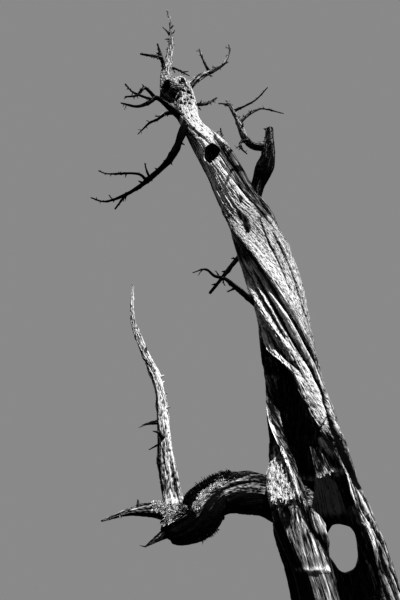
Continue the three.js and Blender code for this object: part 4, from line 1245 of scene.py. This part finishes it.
def source_spurs(shape, seed, start, pile, rng, sizes):
    """The spurs of the source's rule on a mass's stem, each carried on to finer twigs"""
    limb = Limb(shape, seed)
    random = lcg(seed)
    count = math.floor((1 - start) * limb.route.length / SPUR_SPACING)
    for i in range(count):
        share = start + (1 - start) * (i + 0.3 + 0.5 * next(random)) / count
        along = limb.route.heading(np.array([share]))[0]
        turn = math.radians(SPUR_TURN * i + SPUR_SPREAD * next(random))
        side = np.cross([0.0, 1.0, 0.0], along)
        side /= np.linalg.norm(side)
        side = side * math.cos(turn) + np.cross(along, side) * math.sin(turn)
        heading = 0.9 * side + 0.5 * along
        heading /= np.linalg.norm(heading)
        root = limb.route.at(np.array([share]))[0]
        radius = float(limb.radius(share))
        reach = radius + SPUR_REACH * (0.4 + 0.6 * next(random))
        thick = min(radius * 0.6, SPUR_THICK)
        bend = np.cross(heading, along) * rng.uniform(-0.22, 0.22) * reach
        places = np.array([root, root + heading * 0.4 * reach, root + heading * 0.75 * reach + 0.4 * bend,
                           root + heading * 0.97 * reach + bend])
        stick(pile, places, [thick, thick * 0.75, thick * 0.5, 2.0], 7, TWIG_TONE, i)
        for k in range(2):
            start_at = places[1] + (places[2] - places[1]) * rng.random()
            way = heading + rng.normal(0, 0.6, 3)
            way /= np.linalg.norm(way)
            long = sizes.fine_reach / MM * (0.3 + 0.5 * rng.random())
            stick(pile, [start_at, start_at + way * long * 0.6, start_at + way * long + rng.normal(0, 3, 3)],
                  [thick * 0.45, thick * 0.3, 1.2], 5, TWIG_TONE, k)


STUMP_END = ((1.04, 0.1, 0.0), (0.98, 0.24, 0.15), (0.84, 0.22, 0.1), (0.72, 0.02, -0.1), (0.62, -0.35, -0.4),
             (0.5, -0.8, -0.6), (0.3, -1.1, -0.6), (0.1, -1.2, -0.6))


def fork_limbs(shape, number, tone, depth):
    """The forks of a limb, with the source's seeds"""
    return [Limb(fork, number * 10 + i, depth, tone) for i, fork in enumerate(shape.get("forks", ()))]


def sides_for(radius, spacing):
    """How many points go round a limb for a spacing in mm, always enough for a round look"""
    return int(np.clip(TAU * radius / spacing, 10, 160))


def build_bough(number, shape, sizes):
    """The limb part of a shape as one mesh"""
    tone, depth = BOUGH_LOOKS.get(shape["name"], BOUGH_LOOK)
    limb = Limb(shape, number, depth, tone)
    pile = Pile()
    split = shape.get("mass_from", 1)
    sides = sides_for(shape["foot"] * 1.2, sizes.around_step / MM)
    end_shape = STUMP_END if shape.get("dished") else None
    limb.add_to(pile, sides, sizes.row_step / MM, 0, split, end_shape)
    rng = np.random.default_rng(500 + number)
    if split == 1:
        for fork in fork_limbs(shape, number, tone - 0.55, depth):
            fork.add_to(pile, 14, 9)
            spikes_on(fork, pile, rng, 120, 14)
    if not shape.get("dished"):
        spikes_on(limb, pile, rng, sizes.spike_spacing / MM, sizes.spike_reach / MM, 0.2, split)
    return pile.mesh(shape["name"] + "_wood")


def build_mass(number, shape, sizes):
    """The twigs that a shape ends in, or all of it, as one mesh"""
    tone, depth = BOUGH_LOOKS.get(shape["name"], (TWIG_TONE, 0.8))
    start = shape.get("mass_from", 1)
    stem = Limb(shape, number, depth, tone)
    pile = Pile()
    stem.add_to(pile, sides_for(shape["foot"] * 0.8, 6) + 4, 8, start, 1)
    rng = np.random.default_rng(700 + number)
    limbs = [(stem, start), *((fork, 0.12) for fork in fork_limbs(shape, number, tone, depth))]
    for fork, _ in limbs[1:]:
        fork.add_to(pile, 14, 8)
    source_spurs(shape, number, start, pile, rng, sizes)
    for limb, low in limbs:
        spikes_on(limb, pile, rng, sizes.fine_spacing / MM, sizes.fine_reach / MM, max(low, 0.12), 0.98)
    return pile.mesh((shape["name"] + "_twigs" if start > 0 else shape["name"]) + "_wood")


# Torn fibres and lichen


def fibre(pile, root, way, out, long, thick, curl, tone, rng):
    """One thin fibre that starts along `way` and lifts towards `out`"""
    wander = rng.normal(0, 0.12, 3)
    places = [
        root - out * thick,
        root + way * long * 0.4 + out * curl * long * 0.2,
        root + (way + wander) * long * 0.75 + out * curl * long * 0.6,
        root + (way + 2 * wander) * long + out * curl * long,
    ]
    stick(pile, places, [thick, thick * 0.85, thick * 0.6, thick * 0.15], 3, tone, int(rng.integers(0, 9)))


def build_splinters(sizes):
    """Pale splinters on the trunk's torn patch and along its torn edges"""
    pile = Pile()
    rng = np.random.default_rng(77)
    torn, edge = (int(sizes.splinters * much) for much in (0.7, 0.3))
    patches = (
        (torn, (-178, -126), (2050, 2250), None, (14, 38), (2.5, 5), 0.95),
        (edge, (-176, -120), (-16, 20), LEDGES[1], (14, 44), (3, 6), 0.9),
    )
    for count, (left, right), (low, high), ledge, (short, long), (thin, thick), tone in patches:
        for _ in range(count):
            theta = np.array(math.radians(rng.uniform(left, right)))
            z = np.array(rng.uniform(low, high) + (ledge_edge(ledge, theta) if ledge else 0))
            radius = float(trunk_surface(theta, z)[0])
            root = trunk_point(theta, z, radius)
            below = trunk_point(theta + 0.02, z - 60.0, radius)
            way = (below - root) / np.linalg.norm(below - root)
            out = np.array([math.cos(theta), math.sin(theta), 0.0])
            fibre(pile, root, way, out, rng.uniform(short, long), rng.uniform(thin, thick),
                  rng.uniform(0.0, 0.16), tone + rng.uniform(-0.4, 0.1), rng)
    return pile.mesh("splinters")


# Shaggy growth: the limb's place in the list, shares of its length, its turn in degrees at each of them, half
# width in degrees, share of all the tries, shortest and longest hair, and tone
GROWTH = (
    (0, (0.52, 0.84), (-118, -138), 17, 1.1, (10, 34), 0.04),
    (0, (0.57, 0.82), (-147, -166), 8, 1.5, (8, 20), 1.1),
    (0, (0.50, 0.62), (-150, -150), 14, 0.2, (6, 14), 0.6),
    (0, (0.84, 1.0), (-128, -140), 30, 0.5, (6, 16), 0.7),
    (0, (0.76, 0.86), (96, 106), 10, 0.06, (8, 20), 0.02),
    (1, (0.0, 0.055), (165, 170), 50, 0.7, (7, 18), 0.95),
    (2, (0.26, 0.43), (-160, -150), 45, 0.6, (6, 16), 0.95),
)


def build_lichen(sizes):
    """Shaggy growth and torn bark on the low bough's top and round the spire's foot"""
    pile = Pile()
    rng = np.random.default_rng(78)
    up = np.array([0.0, 0.0, 1.0])
    for index, shares, turns, half, much, (short, long), tone in GROWTH:
        shape = LIMBS[index]
        limb = Limb(shape, index + 1, *BOUGH_LOOKS[shape["name"]][::-1])
        share = np.sort(rng.uniform(*shares, int(sizes.lichen * much)))
        turn = np.interp(share, shares, turns) + half * rng.uniform(-1, 1, len(share))
        for place, out, along in zip(*limb.point(share, np.radians(turn))):
            way = out * 0.7 + along * rng.normal(0, 0.6) - up * 0.2 + rng.normal(0, 0.4, 3)
            way /= np.linalg.norm(way)
            fibre(pile, place, way, out, rng.uniform(short, long), rng.uniform(2.2, 4.6),
                  rng.uniform(-0.2, 0.2), tone + rng.uniform(-0.3, 0.1), rng)
    return pile.mesh("lichen")


# Materials


class Value:
    """A shader value that Python's own operators work on"""

    def __init__(self, finish, socket):
        self.finish = finish
        self.socket = socket

    def _math(self, operation, *values):
        return self.finish.node("ShaderNodeMath", {"operation": operation}, dict(enumerate(values)))[0]

    def __add__(self, other):
        return self._math("ADD", self, other)

    def __radd__(self, other):
        return self._math("ADD", other, self)

    def __sub__(self, other):
        return self._math("SUBTRACT", self, other)

    def __rsub__(self, other):
        return self._math("SUBTRACT", other, self)

    def __mul__(self, other):
        return self._math("MULTIPLY", self, other)

    def __rmul__(self, other):
        return self._math("MULTIPLY", other, self)

    def __abs__(self):
        return self._math("ABSOLUTE", self)

    def clamped(self):
        """The value held between 0 and 1"""
        return self._math("MAXIMUM", self._math("MINIMUM", self, 1.0), 0.0)


class Finish:
    """A material and its node tree"""

    def __init__(self, name):
        self.material = bpy.data.materials.new(name)
        self.material.use_nodes = True
        self.tree = self.material.node_tree
        self.shader = self.tree.nodes["Principled BSDF"]

    def node(self, kind, settings=None, inputs=None):
        """A new node: its settings are set first, then its sockets' values or links. Returns its outputs."""
        made = self.tree.nodes.new(kind)
        for key, value in (settings or {}).items():
            if key == "stops":
                self._set_stops(made.color_ramp, value)
            else:
                setattr(made, key, value)
        for key, value in (inputs or {}).items():
            self.feed(made.inputs[key], value)
        return [Value(self, socket) for socket in made.outputs if socket.enabled]

    def _set_stops(self, ramp, stops):
        while len(ramp.elements) < len(stops):
            ramp.elements.new(0.5)
        for element, (place, colour) in zip(ramp.elements, stops):
            element.position = place
            element.color = colour

    def feed(self, socket, value):
        """Links a shader value to a socket, or sets the socket's own value"""
        if isinstance(value, Value):
            self.tree.links.new(value.socket, socket)
        else:
            socket.default_value = value

    def set(self, **inputs):
        """Feeds the shader's own sockets, named with _ for a space"""
        for key, value in inputs.items():
            self.feed(self.shader.inputs[key.replace("_", " ")], value)


def grain_noise(finish, grain, across, along, detail):
    """Noise stretched along the grain, by its scale across and along"""
    scale = (across, across, along)
    vector = finish.node("ShaderNodeVectorMath", {"operation": "MULTIPLY"}, {0: grain, 1: scale})[0]
    return finish.node("ShaderNodeTexNoise", {}, {"Vector": vector, "Scale": 1.0, "Detail": detail})[0]


def weathered_wood(name, colours, contrast):
    """Weathered wood: tone painted on the mesh, with fibres, dark flecks and thin cracks along the grain"""
    finish = Finish(name)
    grain = finish.node("ShaderNodeAttribute", {"attribute_name": "grain"})[1]
    tone = finish.node("ShaderNodeAttribute", {"attribute_name": "tone"})[2]
    granular = finish.node("ShaderNodeAttribute", {"attribute_name": "granular"})[2]
    fibres = grain_noise(finish, grain, 75.0, 3.2, 4.0)
    threads = grain_noise(finish, grain, 190.0, 20.0, 2.0)
    flecks = grain_noise(finish, grain, 92.0, 36.0, 2.0)
    streaks = grain_noise(finish, grain, 36.0, 1.5, 3.0)
    # The thin cracks and dark flecks are darkened partly as weathering, partly as painted shade
    line = (1.0 - abs(streaks - 0.5) * 26.0).clamped()
    pits = ((flecks - 0.545) * 12.0).clamped()
    shade = tone + (fibres - 0.5) * (1.0 - granular * 0.6) * (2.2 * contrast)
    shade = shade + (threads - 0.5) * (0.9 * contrast) - pits * (0.06 + granular * 0.42)
    shade = shade - line * (0.4 - granular * 0.25)
    colour = finish.node("ShaderNodeValToRGB", {"stops": (
        (0.0, (*colours.dark, 1.0)),
        (0.4, (*colours.grey, 1.0)),
        (0.9, (*colours.pale, 1.0)))}, {"Fac": shade.clamped()})[0]
    relief = fibres * 0.6 + threads * 0.3 - line * 0.7 - pits * (0.15 + granular * 0.35)
    bump = finish.node("ShaderNodeBump", {}, {"Strength": 0.8, "Distance": 0.014, "Height": relief})[0]
    finish.set(Base_Color=colour, Roughness=(0.95 - shade * 0.15).clamped(), Normal=bump)
    finish.shader.inputs["Specular IOR Level"].default_value = 0.02
    return finish.material


def plain_floor(colour):
    """The floor's plain matt finish"""
    finish = Finish("floor_paint")
    finish.set(Base_Color=(*colour, 1.0), Roughness=0.9)
    return finish.material


# Settings


class TrunkSizes(bpy.types.PropertyGroup):
    around: IntProperty(name="Points round", description="Points round the trunk", default=250, min=64)
    row_step: FloatProperty(
        name="Row step", description="Height between the trunk's rings", default=0.011, unit="LENGTH")
    splinters: IntProperty(name="Splinters", description="Torn splinters on the largest patch", default=230)


class BoughSizes(bpy.types.PropertyGroup):
    around_step: FloatProperty(
        name="Around step", description="Spacing of a bough's points round it", default=0.0075, unit="LENGTH")
    row_step: FloatProperty(
        name="Row step", description="Spacing of a bough's rings along it", default=0.011, unit="LENGTH")
    spike_spacing: FloatProperty(
        name="Spike spacing", description="Mean distance between broken spikes", default=0.085, unit="LENGTH")
    spike_reach: FloatProperty(
        name="Spike reach", description="Length of the longest broken spikes", default=0.05, unit="LENGTH")
    lichen: IntProperty(name="Lichen", description="Hairs, of which each growth takes its share", default=900)


class TwigSizes(bpy.types.PropertyGroup):
    fine_spacing: FloatProperty(
        name="Fine spacing", description="Distance between the finest twigs", default=0.055, unit="LENGTH")
    fine_reach: FloatProperty(
        name="Fine reach", description="Length of the longest fine twigs", default=0.06, unit="LENGTH")


class WoodColours(bpy.types.PropertyGroup):
    pale: FloatVectorProperty(
        name="Pale", description="Bleached wood", subtype="COLOR", default=(0.62, 0.62, 0.62))
    grey: FloatVectorProperty(
        name="Grey", description="Weathered grey wood", subtype="COLOR", default=(0.15, 0.15, 0.15))
    dark: FloatVectorProperty(
        name="Dark", description="Cracks and the hollow's wood", subtype="COLOR",
        default=(0.004, 0.004, 0.004))


class StudioSettings(bpy.types.PropertyGroup):
    floor_size: FloatProperty(name="Floor", description="Width of the floor", default=60.0, unit="LENGTH")
    floor_colour: FloatVectorProperty(
        name="Floor colour", description="Pale floor", subtype="COLOR", default=(0.28, 0.28, 0.28))
    backdrop: FloatVectorProperty(
        name="Backdrop", description="Plain grey behind the tree", subtype="COLOR",
        default=(0.24, 0.24, 0.24))
    key_strength: FloatProperty(name="Key light", description="Strength of the main light", default=7.5)
    soft_strength: FloatProperty(name="Soft light", description="Strength of the broad light", default=0.7)
    back_strength: FloatProperty(name="Back light", description="Strength of the light behind", default=2.4)
    key_heading: FloatProperty(
        name="Key heading", description="Heading that the main light comes from", subtype="ANGLE",
        default=math.radians(-58))
    key_height: FloatProperty(
        name="Key height", description="Angle of the main light above the floor", subtype="ANGLE",
        default=math.radians(50))


GROUPS = {
    "dead_tree_trunk": TrunkSizes,
    "dead_tree_boughs": BoughSizes,
    "dead_tree_twigs": TwigSizes,
    "dead_tree_colours": WoodColours,
    "dead_tree_studio": StudioSettings,
}


def wood_for(scene, name, contrast=1.0):
    """A wood material by name, made once"""
    return bpy.data.materials.get(name) or weathered_wood(name, scene.dead_tree_colours, contrast)


# Operators

# The camera: its place in metres, tilt up in degrees, focal length and film side in mm, and how far it sees
CAMERA_PLACE = (-1.0, -3.6, 1.5)
CAMERA_TILT = 32
FOCAL_LENGTH = 28
FILM_SIDE = 36
VIEW_END = 200

# The lamps: heading, angle above the floor and apparent width in degrees, and the distance in metres
LAMPS = {"soft": (-100, 55, 150), "back": (100, 25, 30)}
KEY_WIDTH = 3
LAMP_DISTANCE = 12


class TREE_OT_stage(bpy.types.Operator):
    """Puts in the camera, the floor and the lights"""

    bl_idname = "tree.stage"
    bl_label = "Camera, floor and lights"

    def execute(self, context):
        scene = context.scene
        studio = scene.dead_tree_studio
        camera = bpy.data.objects.new("camera", bpy.data.cameras.new("camera"))
        camera.location = CAMERA_PLACE
        camera.rotation_euler = (math.radians(90 + CAMERA_TILT), 0, 0)
        camera.data.lens = FOCAL_LENGTH
        camera.data.sensor_width = FILM_SIDE
        camera.data.clip_end = VIEW_END
        scene.collection.objects.link(camera)
        scene.camera = camera
        half = studio.floor_size / 2
        floor = bpy.data.meshes.new("floor")
        corners = [(-half, -half, 0), (half, -half, 0), (half, half, 0), (-half, half, 0)]
        floor.from_pydata(corners, [], [(0, 1, 2, 3)])
        floor = bpy.data.objects.new("floor", floor)
        scene.collection.objects.link(floor)
        floor.data.materials.append(plain_floor(studio.floor_colour))
        floor.visible_diffuse = False
        self.lamp(scene, "key", studio.key_strength, studio.key_heading, studio.key_height, KEY_WIDTH)
        for name, strength in (("soft", studio.soft_strength), ("back", studio.back_strength)):
            heading, height, width = LAMPS[name]
            self.lamp(scene, name, strength, math.radians(heading), math.radians(height), width)
        world = bpy.data.worlds.new("backdrop")
        world.use_nodes = True
        world.node_tree.nodes["Background"].inputs["Color"].default_value = (*studio.backdrop, 1.0)
        world.cycles_visibility.diffuse = False
        scene.world = world
        scene.view_settings.view_transform = "Standard"
        scene.view_settings.look = "Medium High Contrast"
        return {"FINISHED"}

    def lamp(self, scene, name, strength, heading, height, softness):
        """A far light from a heading and an angle above the floor, both in radians"""
        light = bpy.data.lights.new(name, "SUN")
        light.energy = strength
        light.angle = math.radians(softness)
        lamp = bpy.data.objects.new(name, light)
        level = math.cos(height)
        away = Vector((level * math.cos(heading), level * math.sin(heading), math.sin(height)))
        lamp.rotation_euler = away.to_track_quat("Z", "Y").to_euler()
        lamp.location = away * LAMP_DISTANCE
        scene.collection.objects.link(lamp)


class TREE_OT_trunk(bpy.types.Operator):
    """Builds the trunk with its relief, hollow and openings"""

    bl_idname = "tree.trunk"
    bl_label = "Trunk"

    def execute(self, context):
        scene = context.scene
        for name, low, high in (("trunk_wood", 0, TRUNK_JOINT), ("trunk_wood_high", TRUNK_JOINT, TRUNK_TOP)):
            piece = placed(name, build_trunk(scene.dead_tree_trunk, low, high))
            finish_piece(piece, wood_for(scene, "trunk_wood_finish"), ["trunk"])
        return {"FINISHED"}


class TREE_OT_boughs(bpy.types.Operator):
    """Builds the boughs and broken stubs with their relief"""

    bl_idname = "tree.boughs"
    bl_label = "Boughs"

    def execute(self, context):
        scene = context.scene
        for number, shape in enumerate(LIMBS, 1):
            if shape.get("mass_from", 1) == 0:
                continue
            piece = placed(shape["name"] + "_wood", build_bough(number, shape, scene.dead_tree_boughs))
            finish_piece(piece, wood_for(scene, "bough_wood_finish", 0.95), [shape["name"]])
        return {"FINISHED"}


class TREE_OT_twigs(bpy.types.Operator):
    """Builds the bare twigs that the boughs end in"""

    bl_idname = "tree.twigs"
    bl_label = "Twigs"

    def execute(self, context):
        scene = context.scene
        for number, shape in enumerate(LIMBS, 1):
            split = shape.get("mass_from", 1)
            if split == 1:
                continue
            node = shape["name"] + ("_twigs" if split > 0 else "")
            piece = placed(node + "_wood", build_mass(number, shape, scene.dead_tree_twigs))
            finish_piece(piece, wood_for(scene, "twig_wood_finish", 0.8), [node])
        return {"FINISHED"}


class TREE_OT_fibres(bpy.types.Operator):
    """Adds torn splinters to the trunk and shaggy lichen to the low bough"""

    bl_idname = "tree.fibres"
    bl_label = "Splinters and lichen"

    def execute(self, context):
        scene = context.scene
        finish = wood_for(scene, "fibre_finish", 0.5)
        finish_piece(placed("splinters", build_splinters(scene.dead_tree_trunk)), finish)
        finish_piece(placed("lichen", build_lichen(scene.dead_tree_boughs)), finish)
        return {"FINISHED"}


OPERATORS = (TREE_OT_stage, TREE_OT_trunk, TREE_OT_boughs, TREE_OT_twigs, TREE_OT_fibres)


class TREE_PT_panel(bpy.types.Panel):
    """Lists the steps that build the tree"""

    bl_idname = "TREE_PT_panel"
    bl_label = "Dead Tree"
    bl_space_type = "VIEW_3D"
    bl_region_type = "UI"
    bl_category = "Dead Tree"

    def draw(self, context):
        for operator in OPERATORS:
            self.layout.operator(operator.bl_idname)
        for name, group in GROUPS.items():
            box = self.layout.box()
            for key in group.__annotations__:
                box.prop(getattr(context.scene, name), key)


def register():
    """Adds the settings, operators and panel"""
    for cls in (*GROUPS.values(), *OPERATORS, TREE_PT_panel):
        bpy.utils.register_class(cls)
    for name, group in GROUPS.items():
        setattr(bpy.types.Scene, name, PointerProperty(type=group))


def unregister():
    """Takes the settings, operators and panel out again"""
    for name in GROUPS:
        delattr(bpy.types.Scene, name)
    for cls in reversed((*GROUPS.values(), *OPERATORS, TREE_PT_panel)):
        bpy.utils.unregister_class(cls)


def main():
    """Builds the whole tree"""
    register()
    bpy.ops.tree.stage()
    bpy.ops.tree.trunk()
    bpy.ops.tree.boughs()
    bpy.ops.tree.twigs()
    bpy.ops.tree.fibres()


if __name__ == "__main__":
    main()
